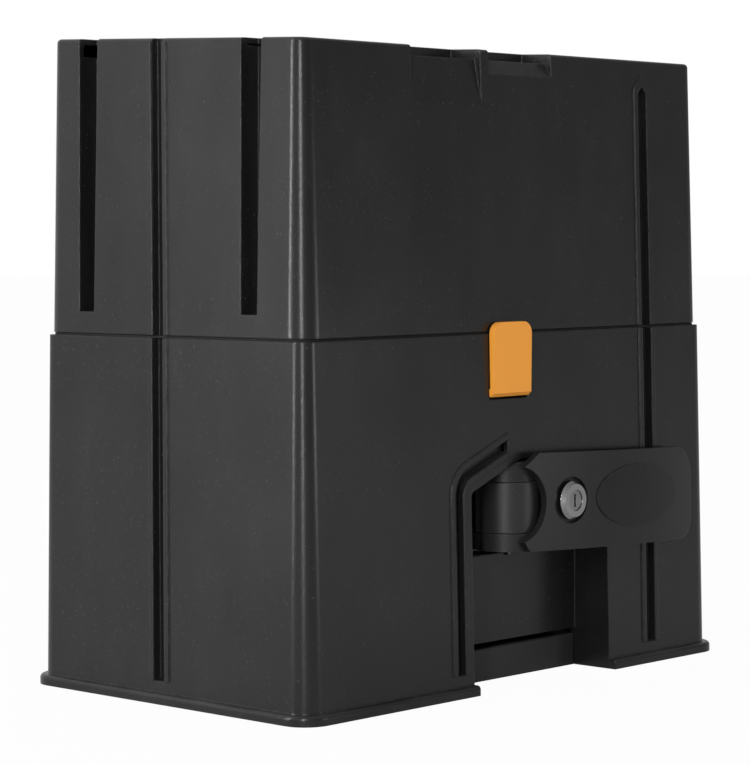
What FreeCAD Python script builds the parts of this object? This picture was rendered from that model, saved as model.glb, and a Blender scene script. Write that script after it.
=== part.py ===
"""Sliding gate motor: tall two-part casing, worm gearbox, keyed release lever and rack pinion.

Frame: X runs along the gate, -Y is the user's side with the release lever, +Y is the gate side
with the pinion, +Z is up.  The origin lies under the middle of the base, on the slab.
"""
import FreeCAD, Part
import math
import os
import re
import Sketcher
from FreeCAD import Placement, Rotation, Vector

doc = FreeCAD.newDocument("SlidingGateMotor")
sheet = doc.addObject("Spreadsheet::Sheet", "Sizes")

SIZES = {
    # casing, lower part
    "housing_length": 325.2, "housing_width": 198.6, "wall": 3.0, "corner_radius": 10.5,
    "wall_slope": 0.0178, "flange_lip": 4.0, "flange_height": 5.2, "flange_round": 2.0,
    "seam_height": 185.0, "seam_gap": 1.4, "seal_inset": 1.4, "ledge_width": 8.0,
    "ledge_height": 4.0,
    # casing, lift-off cover
    "cover_slope": 0.0227, "cover_step": 0.6, "cover_height": 330.0, "roof_rise": 8.7,
    "roof_round": 2.2,
    # blind slots in the ends of the cover
    "slot_bottom": 197.0, "slot_depth": 12.0, "slot_width_low": 11.4, "slot_width_high": 14.6,
    "slot_back": 62.7, "slot_front": 57.6,
    # full-height grooves with raised lips
    "channel_depth": 4.0, "lip_width": 3.0, "lip_proud": 0.9, "channel_foot": 11.0,
    "side_channel": 8.0, "side_channel_foot": 4.8, "side_channel_seam": 7.0,
    "side_channel_roof": 10.4, "front_channel": 7.6, "front_channel_place": 107.5,
    "channel_peak": 320.0,
    # finger notch and scoops in the front edge of the roof
    "notch_left": 78.5, "notch_right": 30.6, "notch_depth": 5.0, "notch_reach": 20.0,
    "rib_left": 25.9, "rib_right": 19.7, "scoop_depth": 4.0, "scoop_left_foot": 302.0,
    "scoop_right_foot": 317.6,
    # recess for the release lever
    "door_left": 40.0, "door_right": 71.0, "door_shoulder": 103.6, "door_top": 118.8,
    "door_peak": 0.5, "door_round": 4.0, "recess_depth": 24.3, "plinth_height": 17.0,
    "plinth_gap": 3.5, "trim_offset": 7.3, "trim_channel": 6.0, "trim_round": 14.0,
    "trim_end": 10.7,
    # cover clip
    "clip_left": 24.5, "clip_right": 5.7, "clip_bottom": 151.8, "clip_top": 190.4,
    "clip_thick": 3.5, "clip_thin": 2.2, "clip_gap": 0.4, "clip_round": 6.5,
    "clip_pin_radius": 0.8, "clip_knuckle": 2.2, "clip_foot": 1.9, "clip_pin_depth": 1.5, "running_gap": 0.3,
    "bearing_gap": 0.05,
    # release hub, bracket and lever
    "hub_place": 6.0, "hub_reach": 82.0, "hub_radius": 17.5, "hub_low": 79.8, "hub_high": 106.2,
    "hub_flat": 12.5, "hub_step": 9.0, "pivot_side": 9.5, "pivot_ahead": 10.0,
    "spindle_radius": 2.5, "knuckle_low": 70.0, "knuckle_high": 117.0, "bracket_half": 15.0,
    "bracket_web": 5.4,
    "lever_left": 5.3, "lever_right": 139.0, "lever_face": 103.4, "lever_bow": 6.3,
    "lever_thick": 4.0, "lever_low": 70.5, "lever_high": 121.8, "lever_droop": 0.03,
    "lever_tip_low": 76.5, "lever_tip_high": 114.0, "lever_corner": 5.6, "scallop_radius": 20.3,
    "scallop_reach": 10.3, "lever_round_high": 17.0, "lever_round_low": 11.0,
    "block_left": 20.0, "block_right": 58.0, "block_back": 92.0, "lever_screw": 2.0,
    "badge_place": 84.0, "badge_length": 73.0, "badge_height": 34.0, "badge_proud": 0.6,
    # cam lock in the lever
    "lock_place": 28.3, "lock_height": 95.6, "lock_head": 10.3, "lock_recess": 12.3,
    "lock_recess_depth": 1.8, "lock_body": 8.0, "lock_proud": 3.2, "lock_nut": 11.0,
    "lock_nut_thick": 3.4, "lock_plug": 5.5, "lock_cam_reach": 16.0, "lock_cam_width": 9.0,
    "lock_cam_thick": 2.0, "keeper_lip": 41.0, "keeper_leg": 46.5, "keeper_thick": 3.0,
    # output shaft line
    "shaft_height": 93.0, "shaft_radius": 12.5, "journal_radius": 10.0, "plunger_radius": 5.0,
    "plunger_travel": 5.0, "drive_pin_radius": 3.0, "drive_pin_length": 40.0,
    "wheel_middle": 3.0, "wheel_face": 20.0, "wheel_teeth": 40.0, "wheel_module": 2.5,
    "wheel_hub_radius": 22.0, "wheel_hub_front": 12.0, "wheel_hub_back": 20.0,
    "pinion_teeth": 17.0, "pinion_module": 4.0, "pinion_face": 28.0, "pinion_gap": 3.5,
    "key_width": 8.0, "key_height": 7.0, "ring_thick": 1.5,
    # worm and motor
    "worm_radius": 12.5, "worm_starts": 2.0, "worm_length": 46.0, "worm_journal": 6.0,
    "worm_bearing_radius": 16.0, "worm_bearing_width": 10.0, "motor_radius": 38.0,
    "motor_length": 100.0, "motor_wall": 3.0, "motor_cap": 18.0, "armature_radius": 29.0,
    "magnet_thick": 4.0, "motor_shaft": 4.0,
    # gearbox casing
    "casing_wall": 6.0, "casing_floor": 30.0, "casing_top": 157.0, "casing_front": 57.0,
    "casing_back": 68.0, "nose_radius": 34.0, "nose_end": 86.0, "wheel_room": 4.0,
    "front_seat": 23.5, "rear_seat": 26.0, "collar_front": 37.0, "worm_seat": 40.0,
    "tab_place": 40.0, "tab_thick": 8.0, "tab_bolt": 4.0, "lid_screw": 2.0, "drain_radius": 7.0,
    "gasket": 1.0, "lid_thick": 7.0,
    # base casting
    "base_thick": 8.0, "base_length": 270.0, "base_back": 85.0, "leg_radius": 12.0,
    "bolt_spacing_x": 230.0, "bolt_spacing_y": 120.0, "bolt_hole": 5.5, "cable_hole": 20.0,
    "cable_place": 100.0, "foot_screw_x": 127.0, "foot_screw_y": 32.0, "foot_screw": 2.0,
    # equipment under the cover
    "tray_thick": 3.0, "tray_rim": 9.0, "battery_length": 151.0, "battery_width": 65.0,
    "battery_height": 94.0, "battery_end": 138.0, "battery_front": 18.0,
    "board_length": 140.0, "board_height": 100.0, "board_left": 130.0, "board_front": 45.0,
    "charger_length": 120.0, "charger_thick": 28.0, "charger_height": 68.0,
    "charger_place": 112.0,
}

for row, (alias, number) in enumerate(SIZES.items(), start=1):
    sheet.set("A%d" % row, alias)
    sheet.set("B%d" % row, repr(number))
    sheet.setAlias("B%d" % row, alias)
doc.recompute()


# ---------------------------------------------------------------- helpers

def formula(text):
    """Names in text become cells of the sheet."""
    def to_cell(match):
        word = match.group()
        return "Sizes." + word if word in SIZES else word
    return re.sub(r"[a-z][a-z_]*", to_cell, str(text))


def size(text):
    """The value of a formula, read from the sheet."""
    result = sheet.evalExpression(formula(text))
    return float(getattr(result, "Value", result))


def bind(item, name, text):
    item.setExpression(name, formula(text))


def body(label):
    item = doc.addObject("PartDesign::Body", label)
    item.Label = label
    return item


def sketch(owner, plane, offset="0", tilt=None):
    """A sketch on one of the body's own planes, moved along and tilted about its own X."""
    item = owner.newObject("Sketcher::SketchObject", owner.Label + "_sketch")
    support = [f for f in owner.Origin.OriginFeatures if f.Role == plane + "_Plane"][0]
    item.AttachmentSupport = [(support, "")]
    item.MapMode = "FlatFace"
    turn = Rotation(Vector(1, 0, 0), size(tilt) if tilt else 0)
    item.AttachmentOffset = Placement(Vector(0, 0, size(offset)), turn)
    bind(item, "AttachmentOffset.Base.z", offset)
    if tilt:
        bind(item, "AttachmentOffset.Rotation.Angle", tilt)
    return item


def pin_point(item, geometry, point, x, y):
    """Fix one point of a sketch at two formulas."""
    for kind, text in (("DistanceX", x), ("DistanceY", y)):
        at = item.addConstraint(Sketcher.Constraint(kind, -1, 1, geometry, point, size(text)))
        bind(item, "Constraints[%d]" % at, text)


def polygon(item, points):
    """A closed outline through points given as pairs of formulas."""
    places = [Vector(size(x), size(y), 0) for x, y in points]
    first = item.GeometryCount
    count = len(points)
    for i in range(count):
        item.addGeometry(Part.LineSegment(places[i], places[(i + 1) % count]), False)
    for i in range(count):
        after = first + (i + 1) % count
        item.addConstraint(Sketcher.Constraint("Coincident", first + i, 2, after, 1))
    for i, (x, y) in enumerate(points):
        pin_point(item, first + i, 1, x, y)
    return item


def rectangle(item, left, low, right, high):
    return polygon(item, [(left, low), (right, low), (right, high), (left, high)])


def circle(item, x, y, radius):
    at = item.addGeometry(Part.Circle(Vector(size(x), size(y), 0), Vector(0, 0, 1),
                                      size(radius)), False)
    pin_point(item, at, 3, x, y)
    bound = item.addConstraint(Sketcher.Constraint("Radius", at, size(radius)))
    bind(item, "Constraints[%d]" % bound, radius)
    return item


def rounded_rectangle(item, half_x, half_y, radius):
    """A centred rectangle with round corners."""
    r = size(radius)
    first = item.GeometryCount
    quarters = ((1, 1), (-1, 1), (-1, -1), (1, -1))
    for i, (sx, sy) in enumerate(quarters):
        centre = Vector(sx * (size(half_x) - r), sy * (size(half_y) - r), 0)
        start = math.radians(90 * i)
        ring = Part.Circle(centre, Vector(0, 0, 1), r)
        item.addGeometry(Part.ArcOfCircle(ring, start, start + math.pi / 2), False)
    for i, (sx, sy) in enumerate(quarters):
        arc = first + i
        pin_point(item, arc, 3, "%d * (%s - (%s))" % (sx, half_x, radius),
                  "%d * (%s - (%s))" % (sy, half_y, radius))
        level, plumb = (1, 2) if i % 2 == 0 else (2, 1)
        item.addConstraint(Sketcher.Constraint("Horizontal", arc, 3, arc, level))
        item.addConstraint(Sketcher.Constraint("Vertical", arc, 3, arc, plumb))
        if i == 0:
            bound = item.addConstraint(Sketcher.Constraint("Radius", arc, r))
            bind(item, "Constraints[%d]" % bound, radius)
        else:
            item.addConstraint(Sketcher.Constraint("Equal", first, arc))
    for i in range(4):
        here = item.Geometry[first + i]
        there = item.Geometry[first + (i + 1) % 4]
        side = item.addGeometry(Part.LineSegment(here.EndPoint, there.StartPoint), False)
        item.addConstraint(Sketcher.Constraint("Coincident", first + i, 2, side, 1))
        item.addConstraint(Sketcher.Constraint("Coincident", side, 2, first + (i + 1) % 4, 1))
    return item


def feature(owner, kind, profile, **settings):
    """A PartDesign feature; text settings are formulas, others are plain values."""
    before = owner.Tip.Shape.Volume if owner.Tip else 0
    item = owner.newObject("PartDesign::" + kind, owner.Label + "_" + kind.lower())
    item.Profile = profile
    for name, value in settings.items():
        if isinstance(value, str):
            bind(item, name, value)
        else:
            setattr(item, name, value)
    doc.recompute()
    after = item.Shape.Volume
    removes = kind in ("Pocket", "SubtractiveLoft", "Groove")
    if (after >= before) if removes else (after <= before):
        raise RuntimeError("%s changes nothing" % item.Name)
    return item


def edges(shape, wanted):
    """Names of the edges for which wanted(edge) is true."""
    return ["Edge%d" % (i + 1) for i, edge in enumerate(shape.Edges) if wanted(edge)]


def fillet(owner, radius, wanted):
    base = owner.Tip
    item = owner.newObject("PartDesign::Fillet", owner.Label + "_fillet")
    item.Base = (base, edges(base.Shape, wanted))
    bind(item, "Radius", radius)
    doc.recompute()
    return item


def place(item, x, y, z, turn=None):
    item.Placement = Placement(Vector(size(x), size(y), size(z)), turn or Rotation())
    for axis, text in zip("xyz", (x, y, z)):
        bind(item, "Placement.Base." + axis, text)
    return item


def box(label, x, y, z):
    """A box from three pairs of formulas, low and high."""
    item = doc.addObject("Part::Box", label)
    item.Label = label
    for name, (low, high) in zip(("Length", "Width", "Height"), (x, y, z)):
        bind(item, name, "(%s) - (%s)" % (high, low))
    return place(item, x[0], y[0], z[0])


ALONG = {"X": Rotation(Vector(0, 1, 0), 90), "Y": Rotation(Vector(1, 0, 0), -90), "Z": None}


def cylinder(label, axis, at, span, radius):
    """A cylinder along an axis: at gives its two other coordinates, span its two ends."""
    item = doc.addObject("Part::Cylinder", label)
    item.Label = label
    bind(item, "Radius", radius)
    bind(item, "Height", "(%s) - (%s)" % (span[1], span[0]))
    where = list(at)
    where.insert("XYZ".index(axis), span[0])
    return place(item, *where, turn=ALONG[axis])


def fuse(label, *shapes):
    item = doc.addObject("Part::MultiFuse", label)
    item.Label = label
    item.Shapes = list(shapes)
    item.Refine = True
    return item


def cut(label, base, *tools):
    item = doc.addObject("Part::Cut", label)
    item.Label = label
    item.Base = base
    item.Tool = tools[0] if len(tools) == 1 else fuse(label + "_tools", *tools)
    return item


def common(label, first, second):
    item = doc.addObject("Part::Common", label)
    item.Label = label
    item.Base = first
    item.Tool = second
    return item


def tube(label, axis, at, span, outer, inner):
    solid = cylinder(label + "_outside", axis, at, span, outer)
    bore = cylinder(label + "_bore", axis, at, span, inner)
    return cut(label, solid, bore)


def group(label, *shapes):
    item = doc.addObject("Part::Compound", label)
    item.Label = label
    item.Links = list(shapes)
    return item


def shaped(label, shape):
    """A piece whose form is worked out here from the sheet's values."""
    item = doc.addObject("Part::Feature", label)
    item.Label = label
    item.Shape = shape
    return item


# places used by several pieces, as formulas

HALF_X = "housing_length / 2"
HALF_Y = "housing_width / 2"
HOUSING_TOP = "(seam_height - seam_gap / 2)"
COVER_FOOT = "(seam_height + seam_gap / 2)"
SHAFT = ("hub_place", "shaft_height")
WORM_X = "(hub_place + wheel_teeth * wheel_module / 2 + worm_radius)"
TRAY_LOW = "(seam_height - 5)"
TRAY_TOP = "(seam_height - 5 + tray_thick)"
RECESS_BACK = "(housing_width / 2 - recess_depth)"
CASING_LEFT = "(hub_place - wheel_teeth * wheel_module / 2 - wheel_module - wheel_room - casing_wall)"
CASING_RIGHT = "(hub_place + wheel_teeth * wheel_module / 2 + worm_radius + 23)"
LID_LOW = "(casing_top + gasket)"
LID_TOP = "(casing_top + gasket + lid_thick)"
BARREL = ("hub_place", "-hub_reach")
PIVOT = ("hub_place - pivot_side", "-hub_reach - pivot_ahead")
GEAR_CENTRES = "(wheel_teeth * wheel_module / 2 + worm_radius)"
SHAFT_FRONT = "(-casing_front + 4.5)"
PINION_FRONT = "(%s + pinion_gap)" % "housing_width / 2"
SHAFT_BACK = "(%s + pinion_face + 4)" % PINION_FRONT
RING_SPAN = (PINION_FRONT + " + pinion_face + 0.2", PINION_FRONT + " + pinion_face + ring_thick")
KEY_SPAN = (PINION_FRONT + " + 2", PINION_FRONT + " + pinion_face - 2")
DRIVE_PIN = "(1.3 - wheel_hub_front)"
BASE_FRONT = "(-%s + 3.5)" % RECESS_BACK
LID_SCREWS = [(x, y) for x in (CASING_LEFT + " + 3", CASING_RIGHT + " - 3")
              for y in ("-casing_front + 3", "casing_back - 3")]


def wall_half(axis, height):
    """Half the housing's outer size at a height."""
    return "(%s / 2 - wall_slope * (%s))" % (axis, height)


def cover_half(axis, height):
    """Half the cover's outer size at a height."""
    shrink = "wall_slope * seam_height + cover_slope * (%s - seam_height) + cover_step" % height
    return "(%s / 2 - (%s))" % (axis, shrink)


CLIP_AXIS_Z = "(clip_bottom + clip_knuckle)"
CLIP_AXIS_Y = "(-%s + clip_pin_depth)" % wall_half("housing_width", "clip_bottom + clip_knuckle")


def front_plane(owner, depth):
    """A sketch parallel to the housing's front wall, depth inside its face."""
    return sketch(owner, "XZ", HALF_Y + " - (%s)" % depth, "-atan(wall_slope)")


def side_plane(owner, side, depth):
    """A sketch parallel to an end wall of the housing; side is -1 or 1."""
    return sketch(owner, "YZ", "%d * (%s - (%s))" % (side, HALF_X, depth),
                  "%d * atan(wall_slope)" % -side)


def cover_front_plane(owner, depth):
    at_zero = "%s / 2 - (wall_slope - cover_slope) * seam_height - cover_step" % "housing_width"
    return sketch(owner, "XZ", at_zero + " - (%s)" % depth, "-atan(cover_slope)")


def cover_side_plane(owner, side, depth):
    at_zero = "housing_length / 2 - (wall_slope - cover_slope) * seam_height - cover_step"
    return sketch(owner, "YZ", "%d * (%s - (%s))" % (side, at_zero, depth),
                  "%d * atan(cover_slope)" % -side)


# ---------------------------------------------------------------- casing

def channel(owner, plane, outline, inward):
    """A groove with a raised lip on each side and a backing rib behind the wall.

    plane(depth) makes the sketch, outline(margin, over) gives the groove's points grown
    sideways and upwards.
    """
    backing = polygon(plane("1"), outline("(wall - 0.7)", ""))
    feature(owner, "Pad", backing, Length="channel_depth + wall - 1", Reversed=inward)
    band = polygon(plane("0.4"), outline("lip_width", ""))
    feature(owner, "Pad", band, Length="lip_proud + 0.4", Reversed=not inward)
    trench = polygon(plane("-lip_proud - 1"), outline("0", " + 2"))
    feature(owner, "Pocket", trench, Length="channel_depth + lip_proud + 1",
            Reversed=not inward)


def straight_outline(foot, top, low, high, half, margin):
    """A groove seen from outside, leaning from its foot to its top."""
    return [("%s - %s - %s" % (foot, half, margin), low),
            ("%s + %s + %s" % (foot, half, margin), low),
            ("%s + %s + %s" % (top, half, margin), high),
            ("%s - %s - %s" % (top, half, margin), high)]


def straight_lips(foot, top, low, high, half):
    lips = []
    for sign in ("-", "+"):
        near = "%s %s %s" % ("%s", sign, half)
        far = "%s %s (%s + lip_width)" % ("%s", sign, half)
        lips.append([(near % foot, low), (far % foot, low), (far % top, high), (near % top, high)])
    return lips


def door_outline(margin):
    """The lever recess seen from the front, grown by margin on its left, right and top."""
    return [("-door_left - %s" % margin, "-1"), ("door_right + %s" % margin, "-1"),
            ("door_right + %s" % margin, "door_top + %s" % margin),
            ("-door_peak", "door_top + %s" % margin),
            ("-door_left - %s" % margin, "door_shoulder + %s" % margin)]


def trim_band(item, near, far):
    """Sketch a band round the recess's left shoulder, between two distances from its edge."""
    angle = math.atan2(size("door_top - door_shoulder"), size("door_left - door_peak"))
    centre = ("-door_left - trim_offset - trim_channel / 2 + trim_round", "door_shoulder - 2")
    rise = "((door_top - door_shoulder) / (door_left - door_peak))"
    radii = ["(trim_round + %s)" % d for d in (near, far)]
    rings = []
    for radius in radii:
        ring = Part.Circle(Vector(size(centre[0]), size(centre[1]), 0), Vector(0, 0, 1),
                           size(radius))
        arc = Part.ArcOfCircle(ring, math.pi / 2 + angle, math.pi)
        at = item.addGeometry(arc, False)
        pin_point(item, at, 3, *centre)
        bound = item.addConstraint(Sketcher.Constraint("Radius", at, size(radius)))
        bind(item, "Constraints[%d]" % bound, radius)
        item.addConstraint(Sketcher.Constraint("Horizontal", at, 3, at, 2))
        rings.append(at)
    slope = "(1 / sqrt(1 + %s * %s))" % (rise, rise)
    starts = []
    for at, radius in zip(rings, radii):
        x = "%s - %s * %s * %s" % (centre[0], radius, rise, slope)
        starts.append((x, "%s + %s * %s" % (centre[1], radius, slope)))
        pinned = item.addConstraint(Sketcher.Constraint("DistanceX", -1, 1, at, 1, size(x)))
        bind(item, "Constraints[%d]" % pinned, x)
    run = "(-trim_end - (%s))" % starts[0][0]
    ends = [("-trim_end", "%s + %s * %s" % (starts[0][1], run, rise)),
            ("-trim_end", "%s + (-trim_end - (%s)) * %s" % (starts[1][1], starts[1][0], rise))]
    feet = ["%s - %s" % (centre[0], radius) for radius in radii]

    def line(a, b):
        return item.addGeometry(Part.LineSegment(Vector(*a, 0), Vector(*b, 0)), False)

    def at_size(pair):
        return (size(pair[0]), size(pair[1]))

    legs = [line((size(x), size(centre[1])), (size(x), size("channel_foot"))) for x in feet]
    foot = line((size(feet[0]), size("channel_foot")), (size(feet[1]), size("channel_foot")))
    slants = [line(at_size(s), at_size(e)) for s, e in zip(starts, ends)]
    tip = line(at_size(ends[0]), at_size(ends[1]))
    for i in (0, 1):
        item.addConstraint(Sketcher.Constraint("Coincident", rings[i], 2, legs[i], 1))
        item.addConstraint(Sketcher.Constraint("Coincident", rings[i], 1, slants[i], 1))
        item.addConstraint(Sketcher.Constraint("Coincident", legs[i], 2, foot, i + 1))
        item.addConstraint(Sketcher.Constraint("Coincident", slants[i], 2, tip, i + 1))
        pin_point(item, legs[i], 2, feet[i], "channel_foot")
        pin_point(item, slants[i], 2, *ends[i])
    return item


def drafted_shell(owner, low, high, half_x, half_y, slope):
    """A block with round corners whose sides lean inwards from its foot."""
    foot = rounded_rectangle(sketch(owner, "XY", low), half_x, half_y, "corner_radius")
    block = feature(owner, "Pad", foot, Length="(%s) - (%s)" % (high, low))
    sides = ["Face%d" % (i + 1) for i, face in enumerate(block.Shape.Faces)
             if abs(face.normalAt(0, 0).z) < 0.01]
    level = ["Face%d" % (i + 1) for i, face in enumerate(block.Shape.Faces)
             if abs(face.CenterOfMass.z - size(low)) < 0.01]
    lean = owner.newObject("PartDesign::Draft", owner.Label + "_draft")
    lean.Base = (block, sides)
    lean.NeutralPlane = (block, level)
    lean.Angle = size("atan(%s)" % slope)
    bind(lean, "Angle", "atan(%s)" % slope)
    lean.Reversed = False
    doc.recompute()


def hollow_out(owner, *open_heights):
    """Leave only the wall, open at the flat faces that lie at these heights."""
    base = owner.Tip
    mouths = ["Face%d" % (i + 1) for i, face in enumerate(base.Shape.Faces)
              if any(abs(face.CenterOfMass.z - size(h)) < 0.01 for h in open_heights)]
    shell = owner.newObject("PartDesign::Thickness", owner.Label + "_shell")
    shell.Base = (base, mouths)
    bind(shell, "Value", "wall")
    shell.Reversed = True
    shell.Mode = 0
    shell.Join = 0
    doc.recompute()


def blind_slot(owner, side, middle):
    """A deep slot in an end of the cover, wider at its open top, with a box behind it."""
    at_low = "(slot_width_low / 2)"
    at_high = "(slot_width_high / 2)"

    def outline(margin, top):
        return [("%s - %s - %s" % (middle, at_low, margin), "slot_bottom - " + margin),
                ("%s + %s + %s" % (middle, at_low, margin), "slot_bottom - " + margin),
                ("%s + %s + %s" % (middle, at_high, margin), top),
                ("%s - %s - %s" % (middle, at_high, margin), top)]

    box_behind = polygon(cover_side_plane(owner, side, "1"),
                         outline("wall", "cover_height - wall / 2"))
    feature(owner, "Pad", box_behind, Length="slot_depth + wall - 1", Reversed=side > 0)
    slot = polygon(cover_side_plane(owner, side, "-5"), outline("0", "cover_height + 20"))
    feature(owner, "Pocket", slot, Length="slot_depth + 5", Reversed=side < 0)


def lower_housing():
    """Tapered skirt with a foot flange, the lever recess, grooves and the clip's trough."""
    piece = body("lower_housing")
    drafted_shell(piece, "0", HOUSING_TOP, HALF_X, HALF_Y, "wall_slope")
    hollow_out(piece, "0", HOUSING_TOP)
    flange = sketch(piece, "XY")
    rounded_rectangle(flange, HALF_X + " + flange_lip", HALF_Y + " + flange_lip",
                      "corner_radius + flange_lip")
    rounded_rectangle(flange, HALF_X + " - wall / 2", HALF_Y + " - wall / 2",
                      "corner_radius - wall / 2")
    feature(piece, "Pad", flange, Length="flange_height")
    rim_x, rim_y = size(HALF_X + " + 1"), size(HALF_Y + " + 1")
    fillet(piece, "flange_round", lambda e: abs(e.CenterOfMass.z - size("flange_height")) < 0.01
           and (e.BoundBox.XMax > rim_x or e.BoundBox.XMin < -rim_x
                or e.BoundBox.YMax > rim_y or e.BoundBox.YMin < -rim_y))

    ledge = sketch(piece, "XY", TRAY_LOW + " - ledge_height")
    for inset in ("wall / 2", "(wall + ledge_width)"):
        rounded_rectangle(ledge, wall_half("housing_length", TRAY_LOW) + " - " + inset,
                          wall_half("housing_width", TRAY_LOW) + " - " + inset,
                          "corner_radius - wall / 2")
    feature(piece, "Pad", ledge, Length="ledge_height")

    # the recess: a box behind the front wall, then the opening through wall and flange
    reach = wall_half("housing_width", "door_top + wall") + " - 0.2 - (%s - wall)" % RECESS_BACK
    surround_low = [("-door_left - wall", "0"), ("door_right + wall", "0")]
    surround = polygon(sketch(piece, "XZ", RECESS_BACK + " - wall"),
                       surround_low + door_outline("wall")[2:])
    feature(piece, "Pad", surround, Length=reach)
    half = "trim_channel / 2"
    backing = trim_band(front_plane(piece, "1.1"), "1.4 - trim_offset - " + half, half + " + wall")
    feature(piece, "Pad", backing, Length="channel_depth + wall - 1.1", Reversed=True)
    for near, far in (("-%s - lip_width" % half, "-%s" % half), (half, half + " + lip_width")):
        feature(piece, "Pad", trim_band(front_plane(piece, "0.4"), near, far),
                Length="lip_proud + 0.4")
    feature(piece, "Pocket", trim_band(front_plane(piece, "-lip_proud - 1"), "-" + half, half),
            Length="channel_depth + lip_proud + 1")
    opening = polygon(sketch(piece, "XZ", HALF_Y + " + 20"), door_outline("0"))
    feature(piece, "Pocket", opening, Length="recess_depth + 20")
    fillet(piece, "door_round", lambda e: abs(e.CenterOfMass.y + size(RECESS_BACK) + 11) < 3
           and e.BoundBox.YLength > 15 and e.CenterOfMass.z > size("door_shoulder - 1")
           and e.BoundBox.XLength < 0.1
           and abs(e.CenterOfMass.z - size("door_top + wall")) > 0.5
           and abs(e.CenterOfMass.z - size("door_shoulder + wall")) > 0.5)
    low_gap = sketch(piece, "XZ", RECESS_BACK + " + 1")
    rectangle(low_gap, "-door_left", "-1", "door_right", "plinth_height + plinth_gap")
    feature(piece, "Pocket", low_gap, Length="wall + 3")
    window = sketch(piece, "XZ", RECESS_BACK + " + 1")
    rectangle(window, "hub_place - hub_radius - 8.5", "knuckle_low - 3",
              "hub_place + hub_radius + 2", "knuckle_high + 1")
    feature(piece, "Pocket", window, Length="wall + 3")

    # grooves
    low, high = "channel_foot", "(seam_height - 1)"
    half = "front_channel / 2"
    channel(piece, lambda depth: front_plane(piece, depth),
            lambda margin, over: straight_outline("front_channel_place", "front_channel_place",
                                                  low, high + over, half, margin),
            True)
    half = "side_channel / 2"
    for side in (-1, 1):
        channel(piece, lambda depth: side_plane(piece, side, depth),
                lambda margin, over: straight_outline("side_channel_foot", "side_channel_seam",
                                                      low, high + over, half, margin),
                side > 0)
    # trough and boss for the clip's hinge
    boss = rectangle(front_plane(piece, "1"), "-clip_left - 4", "clip_bottom - 4",
                     "clip_right + 4", "clip_bottom + 9")
    feature(piece, "Pad", boss, Length="2 * wall + 2", Reversed=True)
    for span, radius in (("running_gap", "clip_knuckle + 1.5"), ("3.4", "clip_pin_radius")):
        hole = sketch(piece, "YZ", "clip_right + " + span)
        circle(hole, CLIP_AXIS_Y, CLIP_AXIS_Z, radius)
        feature(piece, "Pocket", hole, Length="clip_right + clip_left + 2 * " + span)

    for side in (-1, 1):
        feet = sketch(piece, "XY", "base_thick")
        ends = ["%d * (foot_screw_x - 7)" % side, "%d * (%s - wall / 2)" % (side, HALF_X)]
        for middle in ("-foot_screw_y", "foot_screw_y"):
            rectangle(feet, ends[0], middle + " - 9", ends[1], middle + " + 9")
        feature(piece, "Pad", feet, Length="wall")
    for side in (-1, 1):
        holes = sketch(piece, "XY", "base_thick - 1")
        for middle in ("-foot_screw_y", "foot_screw_y"):
            circle(holes, "%d * foot_screw_x" % side, middle, "foot_screw")
        feature(piece, "Pocket", holes, Length="wall + 2", Reversed=True)

    shaft_hole = sketch(piece, "XZ", "-%s - 5" % HALF_Y)
    circle(shaft_hole, *SHAFT, "shaft_radius * 2 + 5")
    feature(piece, "Pocket", shaft_hole, Length="20", Reversed=True)
    return piece


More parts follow.
